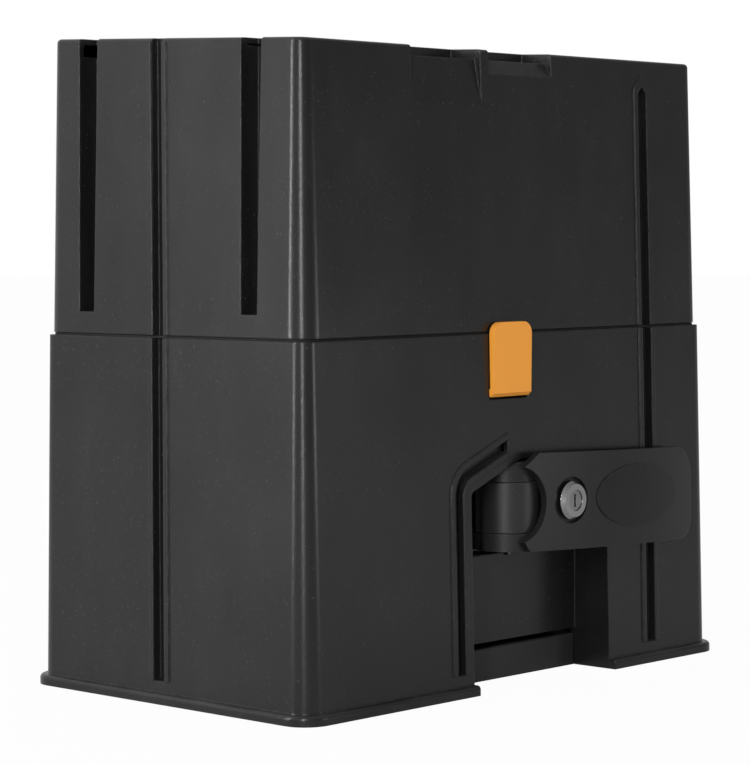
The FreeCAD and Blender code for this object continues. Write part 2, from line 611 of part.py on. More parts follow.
def top_cover():
    """Tapered lid with a sloping roof, blind slots, grooves and finger scoops."""
    piece = body("top_cover")
    above = "cover_height + roof_rise + 5"
    drafted_shell(piece, COVER_FOOT, above, cover_half("housing_length", COVER_FOOT),
                  cover_half("housing_width", COVER_FOOT), "cover_slope")
    edge = cover_half("housing_width", "cover_height")
    slope = sketch(piece, "YZ")
    polygon(slope, [("-%s - 5" % edge, "cover_height - roof_rise * 5 / 2 / %s" % edge),
                    (edge + " + 5", "cover_height + roof_rise + roof_rise * 5 / 2 / %s" % edge),
                    (edge + " + 5", above + " + 20"), ("-%s - 5" % edge, above + " + 20")])
    feature(piece, "Pocket", slope, Type=1, Midplane=True)
    hollow_out(piece, COVER_FOOT)
    fillet(piece, "roof_round", lambda e: e.CenterOfMass.z > size("cover_height - 1")
           and (abs(e.CenterOfMass.x) > size(cover_half("housing_length", "cover_height") + " - 5")
                or abs(e.CenterOfMass.y) > size(edge + " - 2.5")))

    for side in (-1, 1):
        for middle in ("slot_back", "-slot_front"):
            blind_slot(piece, side, middle)

    low = COVER_FOOT
    half = "side_channel / 2"
    for side in (-1, 1):
        roof = "cover_height + roof_rise / 2 - wall / 2"
        backing = polygon(cover_side_plane(piece, side, "1"),
                          straight_outline("side_channel_seam", "side_channel_roof", low, roof,
                                           half, "wall"))
        feature(piece, "Pad", backing, Length="channel_depth + wall - 1", Reversed=side > 0)
        for lip in straight_lips("side_channel_seam", "side_channel_roof", low, roof, half):
            feature(piece, "Pad", polygon(cover_side_plane(piece, side, "0.4"), lip),
                    Length="lip_proud + 0.4", Reversed=side < 0)
        trench = polygon(cover_side_plane(piece, side, "-lip_proud - 1"),
                         straight_outline("side_channel_seam", "side_channel_roof", low + " - 1",
                                          above, half, "0"))
        feature(piece, "Pocket", trench, Length="channel_depth + lip_proud + 1",
                Reversed=side < 0)
    half = "front_channel / 2"
    at = "front_channel_place"
    backing = polygon(cover_front_plane(piece, "1"),
                      straight_outline(at, at, low, "channel_peak + 3", half, "wall"))
    feature(piece, "Pad", backing, Length="channel_depth + wall - 1", Reversed=True)
    for sign in ("-", "+"):
        near = "%s %s %s" % (at, sign, half)
        far = "%s %s (%s + lip_width)" % (at, sign, half)
        lip = [(near, low), (far, low), (far, "channel_peak - 5"), (at, "channel_peak + 2"),
               (at, "channel_peak - 4")]
        lip.append((near, "channel_peak - 8"))
        feature(piece, "Pad", polygon(cover_front_plane(piece, "0.4"), lip),
                Length="lip_proud + 0.4")
    trench = [("%s - %s" % (at, half), low + " - 1"), ("%s + %s" % (at, half), low + " - 1"),
              ("%s + %s" % (at, half), "channel_peak - 8"), (at, "channel_peak - 4"),
              ("%s - %s" % (at, half), "channel_peak - 8")]
    feature(piece, "Pocket", polygon(cover_front_plane(piece, "-lip_proud - 1"), trench),
            Length="channel_depth + lip_proud + 1")

    # finger notch: backing behind the wall, two cuts in the roof edge, two scoops below
    backing = rectangle(cover_front_plane(piece, "1"), "-notch_left - wall", "scoop_left_foot",
                        "notch_right + wall", "cover_height - wall / 2")
    feature(piece, "Pad", backing, Length="scoop_depth + wall - 1", Reversed=True)
    shelf = rectangle(sketch(piece, "XZ", edge + " - wall / 2"), "-notch_left - wall",
                      "cover_height - notch_depth - wall", "notch_right + wall",
                      "cover_height - wall / 2")
    feature(piece, "Pad", shelf, Length="notch_reach + wall", Reversed=True)
    for left, right, foot_height in (("-notch_left", "-rib_left", "scoop_left_foot"),
                                     ("-rib_right", "notch_right", "scoop_right_foot")):
        notch = rectangle(sketch(piece, "XZ", edge + " + 5"), left, "cover_height - notch_depth",
                          right, "cover_height + roof_rise")
        feature(piece, "Pocket", notch, Length="notch_reach + 5")
        scoop = sketch(piece, "YZ", right)
        surface = cover_half("housing_width", foot_height)
        polygon(scoop, [("-%s" % surface, foot_height),
                        ("-%s + scoop_depth" % edge, "cover_height - notch_depth"),
                        ("-%s + scoop_depth" % edge, "cover_height"),
                        ("-%s - 5" % edge, "cover_height"), ("-%s - 5" % edge, foot_height)])
        feature(piece, "Pocket", scoop, Length="(%s) - (%s)" % (right, left))
    return piece


def cover_seal():
    """Soft ring in the joint between the two casing parts."""
    piece = body("cover_seal")
    ring = sketch(piece, "XY", HOUSING_TOP)
    for inset in ("seal_inset", "wall"):
        rounded_rectangle(ring, wall_half("housing_length", HOUSING_TOP) + " - " + inset,
                          wall_half("housing_width", HOUSING_TOP) + " - " + inset,
                          "corner_radius - " + inset)
    feature(piece, "Pad", ring, Length="seam_gap - running_gap")
    return piece


def cover_clip():
    """Swinging clip over the joint, with a rolled hinge knuckle at its foot."""
    piece = body("cover_clip")
    face = wall_half("housing_width", "clip_bottom") + " + clip_gap"
    side = sketch(piece, "YZ", "-clip_left")
    slant = "(wall_slope * (clip_top - clip_bottom))"
    polygon(side, [("-(%s)" % face, "clip_bottom"), ("-(%s) + %s" % (face, slant), "clip_top"),
                   ("-(%s) + %s - clip_thick" % (face, slant), "clip_top"),
                   ("-(%s) - clip_thin" % face, "clip_bottom + clip_foot"),
                   ("-(%s) - clip_thin + clip_foot" % face, "clip_bottom")])
    feature(piece, "Pad", side, Length="clip_left + clip_right")
    fillet(piece, "clip_round", lambda e: abs(e.CenterOfMass.z - size("clip_top")) < 0.01
           and e.BoundBox.XLength < 0.01)
    knuckle = sketch(piece, "YZ", "-clip_left")
    circle(knuckle, CLIP_AXIS_Y, CLIP_AXIS_Z, "clip_knuckle")
    feature(piece, "Pad", knuckle, Length="clip_left + clip_right")
    bore = sketch(piece, "YZ", "clip_right + 1")
    circle(bore, CLIP_AXIS_Y, CLIP_AXIS_Z, "clip_pin_radius + bearing_gap")
    feature(piece, "Pocket", bore, Length="clip_left + clip_right + 2")
    return piece


def casing_parts():
    lower_housing()
    top_cover()
    cover_seal()
    cover_clip()
    cylinder("clip_pin", "X", (CLIP_AXIS_Y, CLIP_AXIS_Z),
             ("-clip_left - 3.2", "clip_right + 3.2"), "clip_pin_radius")


# ---------------------------------------------------------------- release

LEVER_SCREWS = ("(block_right - 3.6)", ("hub_low + 5", "hub_high - 5"))


def lever_circle(extra):
    """Centre and radius of the lever's bowed face, grown outwards by extra."""
    half = size("lever_left + lever_right") / 2
    bow = size("lever_bow")
    radius = (half * half + bow * bow) / (2 * bow)
    middle = size("lever_right - lever_left") / 2
    return Vector(middle, radius - bow - size("lever_face"), 0), radius + extra


def release_lever():
    """Bowed strip with a scalloped hub end, round corners and a recess for the lock."""
    piece = body("release_lever")
    plan = sketch(piece, "XY", "lever_low - 10")
    half = "((lever_left + lever_right) / 2)"
    radius = "((%s * %s + lever_bow * lever_bow) / (2 * lever_bow))" % (half, half)
    centre = ("(lever_right - lever_left) / 2", "%s - lever_bow - lever_face" % radius)
    start = math.atan2(-size(radius) + size("lever_bow"), -size(half))
    stop = math.atan2(-size(radius) + size("lever_bow"), size(half))
    arcs = []
    for text in (radius, radius + " - lever_thick"):
        ring = Part.Circle(Vector(size(centre[0]), size(centre[1]), 0), Vector(0, 0, 1), size(text))
        at = plan.addGeometry(Part.ArcOfCircle(ring, start, stop), False)
        pin_point(plan, at, 3, *centre)
        bound = plan.addConstraint(Sketcher.Constraint("Radius", at, size(text)))
        bind(plan, "Constraints[%d]" % bound, text)
        arcs.append(at)
    for point, x in ((1, "-lever_left"), (2, "lever_right")):
        for at in arcs:
            pinned = plan.addConstraint(Sketcher.Constraint("DistanceX", -1, 1, at, point, size(x)))
            bind(plan, "Constraints[%d]" % pinned, x)
        outer, inner = (plan.Geometry[at] for at in arcs)
        ends = [g.StartPoint if point == 1 else g.EndPoint for g in (outer, inner)]
        end = plan.addGeometry(Part.LineSegment(ends[0], ends[1]), False)
        plan.addConstraint(Sketcher.Constraint("Coincident", arcs[0], point, end, 1))
        plan.addConstraint(Sketcher.Constraint("Coincident", arcs[1], point, end, 2))
    feature(piece, "Pad", plan, Length="lever_high - lever_low + 20")

    droop = "lever_droop * (lever_right + lever_left)"
    outline = sketch(piece, "XZ", "lever_face + lever_bow + 10")
    rectangle(outline, "-lever_left - 20", "lever_low - 30", "lever_right + 20", "lever_high + 30")
    polygon(outline, [("-lever_left", "lever_tip_low"), ("-lever_left + 4", "lever_low"),
                      ("lever_right", "lever_low - " + droop),
                      ("lever_right", "lever_high - " + droop),
                      ("lever_corner", "lever_high"), ("-lever_left", "lever_tip_high")])
    feature(piece, "Pocket", outline, Length="lever_bow + 30")
    right = size("lever_right")
    for radius, above in (("lever_round_high", True), ("lever_round_low", False)):
        fillet(piece, radius, lambda e: abs(e.CenterOfMass.x - right) < 0.5
               and e.BoundBox.YLength > 1 and e.BoundBox.ZLength < 0.1
               and (e.CenterOfMass.z > size("shaft_height")) == above)
    scallop = sketch(piece, "XZ", "lever_face + lever_bow + 10")
    circle(scallop, "scallop_reach - scallop_radius", "(lever_tip_low + lever_tip_high) / 2",
           "scallop_radius")
    feature(piece, "Pocket", scallop, Length="lever_bow + 30")
    front = "(lever_face + lever_bow - 2.2)"
    recess = circle(sketch(piece, "XZ", front + " + 10"), "lock_place", "lock_height",
                    "lock_recess")
    feature(piece, "Pocket", recess, Length="10 + lock_recess_depth")
    hole = circle(sketch(piece, "XZ", front + " + 10"), "lock_place", "lock_height",
                  "lock_body + bearing_gap")
    feature(piece, "Pocket", hole, Length="30")
    for height in LEVER_SCREWS[1]:
        hole = circle(sketch(piece, "XZ", "lever_face + 1"), LEVER_SCREWS[0], height,
                      "lever_screw + bearing_gap")
        feature(piece, "Pocket", hole, Length="3.6", Reversed=True)
    return piece


def release_hub():
    """Barrel cut flat at the back, with a step, and the block that carries lever and lock."""
    low = size("hub_low")
    tall = size("hub_high") - low
    middle = Vector(size("hub_place"), -size("hub_reach"), low)
    round_off = size("hub_radius")
    barrel = Part.makeCylinder(round_off, tall, middle)
    left, right, back = (size(n) for n in ("block_left", "block_right", "block_back"))
    deep = size("lever_face + lever_bow")
    block = Part.makeBox(right - left, deep - back, tall - 1.4, Vector(left, -deep, low + 0.7))
    centre, radius = lever_circle(-size("lever_thick"))
    behind_lever = Part.makeCylinder(radius, tall + 2, centre + Vector(0, 0, low - 1))
    solid = barrel.fuse(block).common(behind_lever)
    bay = Part.makeBox(right, back, tall + 2, Vector(middle.x + 9, -back, low - 1))
    flat = Part.makeBox(4 * round_off, round_off, tall + 2,
                        middle + Vector(-2 * round_off, size("hub_flat"), -1))
    step = Part.makeBox(round_off, round_off, tall + 2,
                        middle + Vector(-round_off - 6, size("hub_step"), -1))
    spindle = Part.makeCylinder(size("spindle_radius + bearing_gap"), tall + 2,
                                Vector(size(PIVOT[0]), size(PIVOT[1]), low - 1))
    lock = Part.makeCylinder(size("lock_body + bearing_gap"), 60,
                             Vector(size("lock_place"), -deep - 20, size("lock_height")),
                             Vector(0, 1, 0))
    screws = [Part.makeCylinder(size("lever_screw + bearing_gap"), 40,
                                Vector(size(LEVER_SCREWS[0]), -deep - 10, size(height)),
                                Vector(0, 1, 0)) for height in LEVER_SCREWS[1]]
    solid = solid.cut(bay.fuse([flat, step, spindle, lock] + screws)).removeSplitter()
    return shaped("release_hub", solid)


def release_bracket():
    """Two knuckles on arms from a plate that is bolted to the gearbox."""
    arms = []
    for name, low, high in (("low", "knuckle_low", "hub_low - running_gap"),
                            ("high", "hub_high + running_gap", "knuckle_high")):
        arms.append(cylinder("knuckle_" + name, "Z", BARREL, (low, high), "hub_radius"))
        arms.append(box("arm_" + name, ("hub_place - bracket_half", "hub_place + bracket_half"),
                        ("-hub_reach", "-casing_front"), (low, high)))
    web = box("bracket_web", ("hub_place - bracket_half", "hub_place + bracket_half"),
              ("-casing_front - bracket_web", "-casing_front"), ("knuckle_low", "knuckle_high"))
    solid = fuse("bracket_solid", web, *arms)
    bore = cylinder("bracket_bore", "Z", PIVOT, ("knuckle_low - 1", "knuckle_high + 1"),
                    "spindle_radius")
    guide = cylinder("bracket_guide", "Y", SHAFT,
                     ("-casing_front - bracket_web - 1", "-casing_front + 1"),
                     "plunger_radius + bearing_gap")
    slant = size("(door_top - door_shoulder) / (door_left + door_peak)")
    left, foot = -size("door_left"), size("door_shoulder") - 0.6
    corners = [Vector(x, -120, foot + slant * (x - left)) for x in (left, size("hub_place"))]
    corners.append(corners[1] + Vector(0, 0, 30))
    corners.append(corners[0] + Vector(0, 0, 45))
    under_slant = shaped("bracket_slant", Part.Face(Part.makePolygon(
        corners + corners[:1])).extrude(Vector(0, 60, 0)))
    cut("release_bracket", solid, bore, guide, under_slant)


def camlock():
    """Barrel, turning plug, nut and cam of the lock, and the keeper it turns behind."""
    at = ("lock_place", "lock_height")
    face = "-(lever_face + lever_bow - 2.2 + lock_proud)"
    seat = "-(lever_face + lever_bow - 2.2 - lock_recess_depth)"
    back = "-(block_back - lock_nut_thick)"
    head = doc.addObject("Part::Cone", "camlock_head")
    bind(head, "Radius1", "lock_head - 1.6")
    bind(head, "Radius2", "lock_head")
    bind(head, "Height", "2")
    place(head, "lock_place", face, "lock_height", ALONG["Y"])
    rim = cylinder("camlock_rim", "Y", at, (face + " + 2", seat), "lock_head")
    shank = cylinder("camlock_shank", "Y", at, (seat, back), "lock_body")
    bore = cylinder("camlock_bore", "Y", at, (face + " - 1", back + " + 1"),
                    "lock_plug + bearing_gap")
    cut("camlock_barrel", fuse("camlock_blank", head, rim, shank), bore)
    plug = cylinder("plug_body", "Y", at, (face + " + 0.6", back + " + running_gap"), "lock_plug")
    tail = box("plug_tail", ("lock_place - 3", "lock_place + 3"),
               (back + " + running_gap", back + " + running_gap + lock_cam_thick"),
               ("lock_height - 3", "lock_height + 3"))
    keyway = box("plug_keyway", ("lock_place - 0.7", "lock_place + 0.7"),
                 (face, face + " + 9"), ("lock_height - 3.4", "lock_height + 3.4"))
    cut("camlock_plug", fuse("plug_blank", plug, tail), keyway)
    nut = doc.addObject("Part::Prism", "nut_blank")
    nut.Polygon = 6
    bind(nut, "Circumradius", "lock_nut / cos(30)")
    bind(nut, "Height", "lock_nut_thick - running_gap")
    place(nut, "lock_place", "-block_back", "lock_height", ALONG["Y"])
    cut("camlock_nut", nut, cylinder("nut_bore", "Y", at, ("-block_back - 1", back), "lock_body"))
    strip = (back + " + running_gap", back + " + running_gap + lock_cam_thick")
    blade = box("cam_blade", ("lock_place - lock_cam_width / 2", "lock_place + lock_cam_width / 2"),
                strip, ("lock_height - lock_cam_reach", "lock_height"))
    eye = cylinder("cam_eye", "Y", at, strip, "lock_cam_width / 2 + 1.5")
    square = box("cam_square", ("lock_place - 3", "lock_place + 3"), strip,
                 ("lock_height - 3", "lock_height + 3"))
    cut("camlock_cam", fuse("cam_blank", blade, eye), square)
    cylinder("camlock_screw", "Y", at, (strip[1], strip[1] + " + 2.4"), "4.2")
    leg = box("keeper_leg", ("keeper_leg", "keeper_leg + keeper_thick"),
              ("-block_back + 0.6", "-" + RECESS_BACK), ("lock_height - 11", "lock_height + 11"))
    lip = box("keeper_lip", ("keeper_lip", "keeper_leg"), ("-block_back + 0.6", "-block_back + 2.6"),
              ("lock_height - 11", "lock_height + 11"))
    foot = box("keeper_foot", ("keeper_leg", "keeper_leg + 13"),
               ("-%s - 2.5" % RECESS_BACK, "-" + RECESS_BACK),
               ("lock_height - 11", "lock_height + 11"))
    fuse("lock_keeper", leg, lip, foot)


def badge_plate():
    """A bare oval plate, proud of the lever's bowed face."""
    centre, radius = lever_circle(size("badge_proud"))
    low = size("lever_low - 20")
    tall = size("lever_high - lever_low + 40")
    outer = Part.makeCylinder(radius, tall, centre + Vector(0, 0, low))
    inner = Part.makeCylinder(radius - size("badge_proud"), tall, centre + Vector(0, 0, low))
    middle = Vector(size("badge_place"), -size("lever_face + lever_bow + 5"),
                    size("shaft_height + 1.6"))
    oval = Part.Ellipse(middle + Vector(size("badge_length / 2"), 0, 0),
                        middle + Vector(0, 0, size("badge_height / 2")), middle)
    prism = Part.Face(Part.Wire([oval.toShape()])).extrude(Vector(0, size("lever_bow + 10"), 0))
    droop = math.degrees(math.atan(size("lever_droop")))
    prism.rotate(middle, Vector(0, 1, 0), droop)
    return shaped("badge_plate", prism.common(outer).cut(inner))


def coil(label, axis_point, radius, wire, start, stop, pitch):
    """A coil spring along Y, its wire drawn with eight flats."""
    turns = (stop - start - 2 * wire) / pitch
    steps = int(turns * 14)
    sections = []
    for i in range(steps + 1):
        angle = 2 * math.pi * turns * i / steps
        out = Vector(math.cos(angle), 0, math.sin(angle))
        middle = axis_point + out * radius + Vector(0, start + wire + turns * pitch * i / steps, 0)
        sections.append([middle + out * (wire * math.cos(math.pi * k / 4))
                         + Vector(0, wire * math.sin(math.pi * k / 4), 0) for k in range(8)])
    return shaped(label, ruled_solid(sections))


def release_parts():
    release_lever()
    release_hub()
    release_bracket()
    camlock()
    badge_plate()
    pin = cylinder("spindle_pin", "Z", PIVOT, ("knuckle_low", "knuckle_high - 1.2"), "spindle_radius")
    head = cylinder("spindle_head", "Z", PIVOT, ("knuckle_low - 1.4", "knuckle_low"),
                    "spindle_radius + 1")
    fuse("release_spindle", pin, head)
    screws = []
    for i, height in enumerate(LEVER_SCREWS[1]):
        at = (LEVER_SCREWS[0], height)
        head = cylinder("lever_screw_head%d" % i, "Y", at, ("-block_back", "-block_back + 2.2"),
                        "lever_screw * 1.7")
        shank = cylinder("lever_screw_shank%d" % i, "Y", at, ("-lever_face - 4", "-block_back"),
                         "lever_screw")
        screws.append(fuse("lever_screw_%d" % i, head, shank))
    group("lever_screws", *screws)
    ball = doc.addObject("Part::Sphere", "plunger_tip")
    bind(ball, "Radius", "plunger_radius")
    centre = "(-hub_reach + hub_flat + running_gap + plunger_radius)"
    place(ball, "hub_place", centre, "shaft_height")
    rod = cylinder("plunger_rod", "Y", SHAFT, (centre, "wheel_hub_back + 7"), "plunger_radius")
    eye = cylinder("plunger_eye", "X", (DRIVE_PIN, "shaft_height"),
                   ("hub_place - plunger_radius - 1", "hub_place + plunger_radius + 1"),
                   "drive_pin_radius")
    cut("release_plunger", fuse("plunger_blank", ball, rod), eye)
    cylinder("drive_pin", "X", (DRIVE_PIN, "shaft_height"),
             ("hub_place - drive_pin_length / 2", "hub_place + drive_pin_length / 2"),
             "drive_pin_radius")
    coil("plunger_spring", Vector(size("hub_place"), 0, size("shaft_height")),
         size("plunger_radius - 1.1"), 0.55, size("wheel_hub_back + 7.1"),
         size("wheel_hub_back + 32"), 4.1)


# ---------------------------------------------------------------- output shaft and gears

def output_shaft():
    """Stepped hollow shaft with a cross slot, a keyway and a circlip groove."""
    steps = [(SHAFT_FRONT, "-collar_front - 1", "journal_radius"),
             ("-collar_front - 1", "-collar_front", "shaft_radius"),
             ("-collar_front", "-wheel_hub_front - running_gap", "shaft_radius + 3.5"),
             ("-wheel_hub_front - running_gap", SHAFT_BACK, "shaft_radius")]
    solids = [cylinder("shaft_step%d" % i, "Y", SHAFT, (low, high), radius)
              for i, (low, high, radius) in enumerate(steps)]
    bore = cylinder("shaft_bore", "Y", SHAFT, (SHAFT_FRONT + " - 1", "wheel_hub_back + 32.3"),
                    "plunger_radius + bearing_gap")
    slot = box("shaft_slot", ("hub_place - 20", "hub_place + 20"),
               (DRIVE_PIN + " - drive_pin_radius - plunger_travel - 0.5",
                DRIVE_PIN + " + drive_pin_radius + 0.5"),
               ("shaft_height - drive_pin_radius - 0.1", "shaft_height + drive_pin_radius + 0.1"))
    keyway = box("shaft_keyway", ("hub_place - key_width / 2", "hub_place + key_width / 2"),
                 KEY_SPAN, ("shaft_height + shaft_radius - 4", "shaft_height + 30"))
    groove = tube("shaft_groove", "Y", SHAFT, RING_SPAN, "shaft_radius + 5", "shaft_radius - 0.9")
    cut("output_shaft", fuse("shaft_blank", *solids), bore, slot, keyway, groove)


def involute(angle):
    return math.tan(angle) - angle


def gear_section(teeth, module, tip, root, thinned, steps=4, turn=0.0):
    """Outline points of a gear in the plane z = 0, one tooth gap centred on +X."""
    pitch = teeth * module / 2
    pressure = math.radians(20)
    base = pitch * math.cos(pressure)
    thick = (math.pi * module - thinned) / 2
    flank = []
    for step in range(steps):
        radius = root + (tip - root) * step / (steps - 1)
        lean = math.acos(min(1.0, base / radius))
        flank.append((radius, thick / (2 * pitch) + involute(pressure) - involute(lean)))
    points = []
    for tooth in range(int(teeth)):
        middle = 2 * math.pi * (tooth + 0.5) / teeth + turn
        side = [(radius, middle - half) for radius, half in flank]
        side += [(radius, middle + half) for radius, half in reversed(flank)]
        points += [Vector(r * math.cos(a), r * math.sin(a), 0) for r, a in side]
    return points


def ruled_solid(sections):
    """A solid through outlines of equal point count, joined by flat three-sided facets."""
    faces = [Part.Face(Part.makePolygon(s + s[:1])) for s in (sections[0], sections[-1])]
    for low, high in zip(sections, sections[1:]):
        for i in range(len(low)):
            j = (i + 1) % len(low)
            for corners in ((low[i], low[j], high[j]), (low[i], high[j], high[i])):
                faces.append(Part.Face(Part.makePolygon(list(corners) + [corners[0]])))
    shell = Part.makeShell(faces)
    shell.sewShape()
    solid = Part.makeSolid(shell.Shells[0])
    if solid.Volume < 0:
        solid.reverse()
    return solid


def gear_on_shaft(solid, middle):
    """Turn a gear from its own Z onto the shaft line, centred at middle."""
    solid.rotate(Vector(0, 0, 0), Vector(1, 0, 0), -90)
    solid.translate(Vector(size("hub_place"), middle, size("shaft_height")))
    return solid


def worm_wheel():
    """Bronze wheel: teeth leaning with the worm's lead, hub notched for the drive pin."""
    half = size("wheel_face / 2")
    pitch = size("wheel_teeth * wheel_module / 2")
    lean = size("worm_starts * wheel_module / (2 * worm_radius)")
    root = size(GEAR_CENTRES + " - worm_radius - wheel_module") - 0.6
    sections = []
    for at in (-half, 0, half):
        section = gear_section(size("wheel_teeth"), size("wheel_module"),
                               pitch + size("wheel_module"), root, 0.6, 3, lean * at / pitch)
        sections.append([point + Vector(0, 0, at) for point in section])
    rim = gear_on_shaft(ruled_solid(sections), size("wheel_middle"))
    front, back = size("-wheel_hub_front"), size("wheel_hub_back")
    axis = Vector(size("hub_place"), front, size("shaft_height"))
    along = Vector(0, 1, 0)
    hub = Part.makeCylinder(size("wheel_hub_radius"), back - front, axis, along)
    bore = Part.makeCylinder(size("shaft_radius + bearing_gap"), back - front + 2,
                             axis - along, along)
    wide = size("wheel_hub_radius") + 1
    room = size("drive_pin_radius + running_gap")
    deep = size(DRIVE_PIN + " + drive_pin_radius + 0.4") - front
    notch = Part.makeBox(2 * wide, deep + 1, 2 * room,
                         Vector(axis.x - wide, front - 1, axis.z - room))
    tools = [bore, notch]
    for side, inner in ((-1, 4.5), (1, 4.5)):
        face = size("wheel_middle") + side * (half - inner)
        web = Part.makeCylinder(root - 6, inner + 1, Vector(axis.x, min(face, face + side * (
            inner + 1)), axis.z), along)
        tools.append(web.cut(hub))
    solid = rim.fuse(hub).cut(tools)
    return shaped("worm_wheel", solid)


def worm_shaft():
    """Two-start worm cut from one bar, with a journal at each end."""
    lead = size("worm_starts * pi * wheel_module")
    pitch = size("worm_radius")
    tip = pitch + size("wheel_module")
    root = size(GEAR_CENTRES + " - wheel_teeth * wheel_module / 2 - wheel_module") - 0.6
    thick = (math.pi * size("wheel_module") - 0.6) / 2
    tilt = math.tan(math.radians(20))
    turn = 2 * math.pi / lead
    flank = [(r, (thick / 2 - (r - pitch) * tilt) * turn) for r in (tip, (tip + root) / 2, root)]
    steps = int(size("worm_length") / lead * 18)
    length = size("worm_length")
    sections = []
    for i in range(steps + 1):
        height = length * (float(i) / steps - 0.5)
        points = []
        for start in (0, math.pi):
            middle = start + turn * height
            side = [(r, middle - a) for r, a in reversed(flank)]
            side += [(r, middle + a) for r, a in flank]
            points += [Vector(r * math.cos(a), r * math.sin(a), height) for r, a in side]
        sections.append(points)
    thread = ruled_solid(sections)
    where = Vector(size(WORM_X), size("wheel_middle"), size("shaft_height"))
    thread.translate(where)
    journal = size("worm_journal")
    low = size("worm_seat + 2 * running_gap")
    high = size(LID_LOW + " + 5")
    bar = Part.makeCylinder(journal, high - low, Vector(where.x, where.y, low))
    socket = Part.makeCylinder(size("motor_shaft"), 13, Vector(where.x, where.y, high - 12))
    return shaped("worm_shaft", thread.fuse(bar).cut(socket))


def gear_parts():
    output_shaft()
    worm_wheel()
    worm_shaft()
    tube("front_bearing", "Y", SHAFT, (SHAFT_FRONT + " + 0.5", "-collar_front - 1"),
         "front_seat", "journal_radius + bearing_gap")
    tube("rear_bearing", "Y", SHAFT, ("casing_back - casing_wall", "casing_back + 9"),
         "rear_seat", "shaft_radius + bearing_gap")
    tube("oil_seal", "Y", SHAFT, ("casing_back + 9", "nose_end"), "rear_seat",
         "shaft_radius + bearing_gap")
    tube("shaft_spacer", "Y", SHAFT,
         ("wheel_hub_back + running_gap", "casing_back - casing_wall - running_gap"),
         "shaft_radius + 3.5", "shaft_radius")
    tube("circlip", "Y", SHAFT, RING_SPAN, "shaft_radius + 2", "shaft_radius - 0.9")
    box("pinion_key", ("hub_place - key_width / 2", "hub_place + key_width / 2"), KEY_SPAN,
        ("shaft_height + shaft_radius - 4", "shaft_height + shaft_radius - 4 + key_height"))
    module = size("pinion_module")
    pitch = size("pinion_teeth") * module / 2
    face = size("pinion_face")
    section = gear_section(size("pinion_teeth"), module, pitch + module, pitch - 1.25 * module, 0.2)
    teeth = Part.Face(Part.makePolygon(section + section[:1])).extrude(Vector(0, 0, face))
    front = size(PINION_FRONT)
    gear = gear_on_shaft(teeth, front)
    axis = Vector(size("hub_place"), front - 1, size("shaft_height"))
    bore = Part.makeCylinder(size("shaft_radius"), face + 2, axis, Vector(0, 1, 0))
    wide = size("key_width")
    keyway = Part.makeBox(wide, face + 2, size("shaft_radius - 4 + key_height"),
                          axis - Vector(wide / 2, 0, 0))
    shaped("output_pinion", gear.cut([bore, keyway]))
    worm_at = (WORM_X, "wheel_middle")
    tube("worm_bearing_low", "Z", worm_at, ("worm_seat", "worm_seat + worm_bearing_width"),
         "worm_bearing_radius", "worm_journal + bearing_gap")
    tube("worm_bearing_high", "Z", worm_at, ("casing_top - worm_bearing_width", "casing_top"),
         "worm_bearing_radius", "worm_journal + bearing_gap")


# ---------------------------------------------------------------- gearbox casing and motor

TABS = [(x, y) for x in (CASING_LEFT + " - 10", CASING_RIGHT + " + 10")
        for y in ("-tab_place", "tab_place")]


def gearbox_casing():
    inner = "casing_wall"
    outside = box("casing_outside", (CASING_LEFT, CASING_RIGHT), ("-casing_front", "casing_back"),
                  ("casing_floor", "casing_top"))
    hollow = box("casing_hollow", (CASING_LEFT + " + " + inner, CASING_RIGHT + " - " + inner),
                 ("-casing_front + " + inner, "casing_back - " + inner),
                 ("casing_floor + " + inner, "casing_top + 1"))
    shell = cut("casing_shell", outside, hollow)
    adds = [shell,
            cylinder("casing_nose", "Y", SHAFT, ("casing_back - 3", "nose_end"), "nose_radius"),
            cylinder("casing_front_boss", "Y", SHAFT,
                     ("-casing_front + 3", "-collar_front - 1"), "front_seat + 5"),
            cylinder("casing_worm_boss", "Z", (WORM_X, "wheel_middle"),
                     ("casing_floor + 3", "worm_seat + worm_bearing_width"),
                     "worm_bearing_radius + 1")]
    for i, (x, y) in enumerate(TABS):
        side = "0" if i < 2 else "-12"
        left = "%s - 10 + (%s)" % (x, side)
        adds.append(box("casing_tab%d" % i, (left, left + " + 32"), (y + " - 11", y + " + 11"),
                        ("casing_floor", "casing_floor + tab_thick")))
    cuts = [cylinder("casing_front_seat", "Y", SHAFT, (SHAFT_FRONT + " + 0.5", "-collar_front"),
                     "front_seat"),
            cylinder("casing_front_room", "Y", SHAFT, (SHAFT_FRONT + " - 1", "-collar_front"),
                     "journal_radius + 2"),
            cylinder("casing_plunger_hole", "Y", SHAFT, ("-casing_front - 1", "-collar_front"),
                     "plunger_radius + 1"),
            cylinder("casing_rear_seat", "Y", SHAFT,
                     ("casing_back - casing_wall - 1", "nose_end + 1"), "rear_seat"),
            cylinder("casing_worm_seat", "Z", (WORM_X, "wheel_middle"),
                     ("worm_seat", "worm_seat + 20"), "worm_bearing_radius"),
            cylinder("casing_worm_room", "Z", (WORM_X, "wheel_middle"),
                     ("casing_floor + 4", "worm_seat + 1"), "worm_journal + 2"),
            cylinder("casing_drain", "X", ("0", "casing_floor + 20"),
                     (CASING_LEFT + " - 1", CASING_LEFT + " + 8"), "drain_radius")]
    for i, (x, y) in enumerate(TABS):
        cuts.append(cylinder("casing_tab_hole%d" % i, "Z", (x, y),
                             ("casing_floor - 1", "casing_floor + 20"), "tab_bolt + 0.3"))
    for i, (x, y) in enumerate(LID_SCREWS):
        cuts.append(cylinder("casing_lid_hole%d" % i, "Z", (x, y), ("casing_top - 8", "casing_top + 1"),
                             "lid_screw"))
    cut("gearbox_casing", fuse("casing_blank", *adds), *cuts)


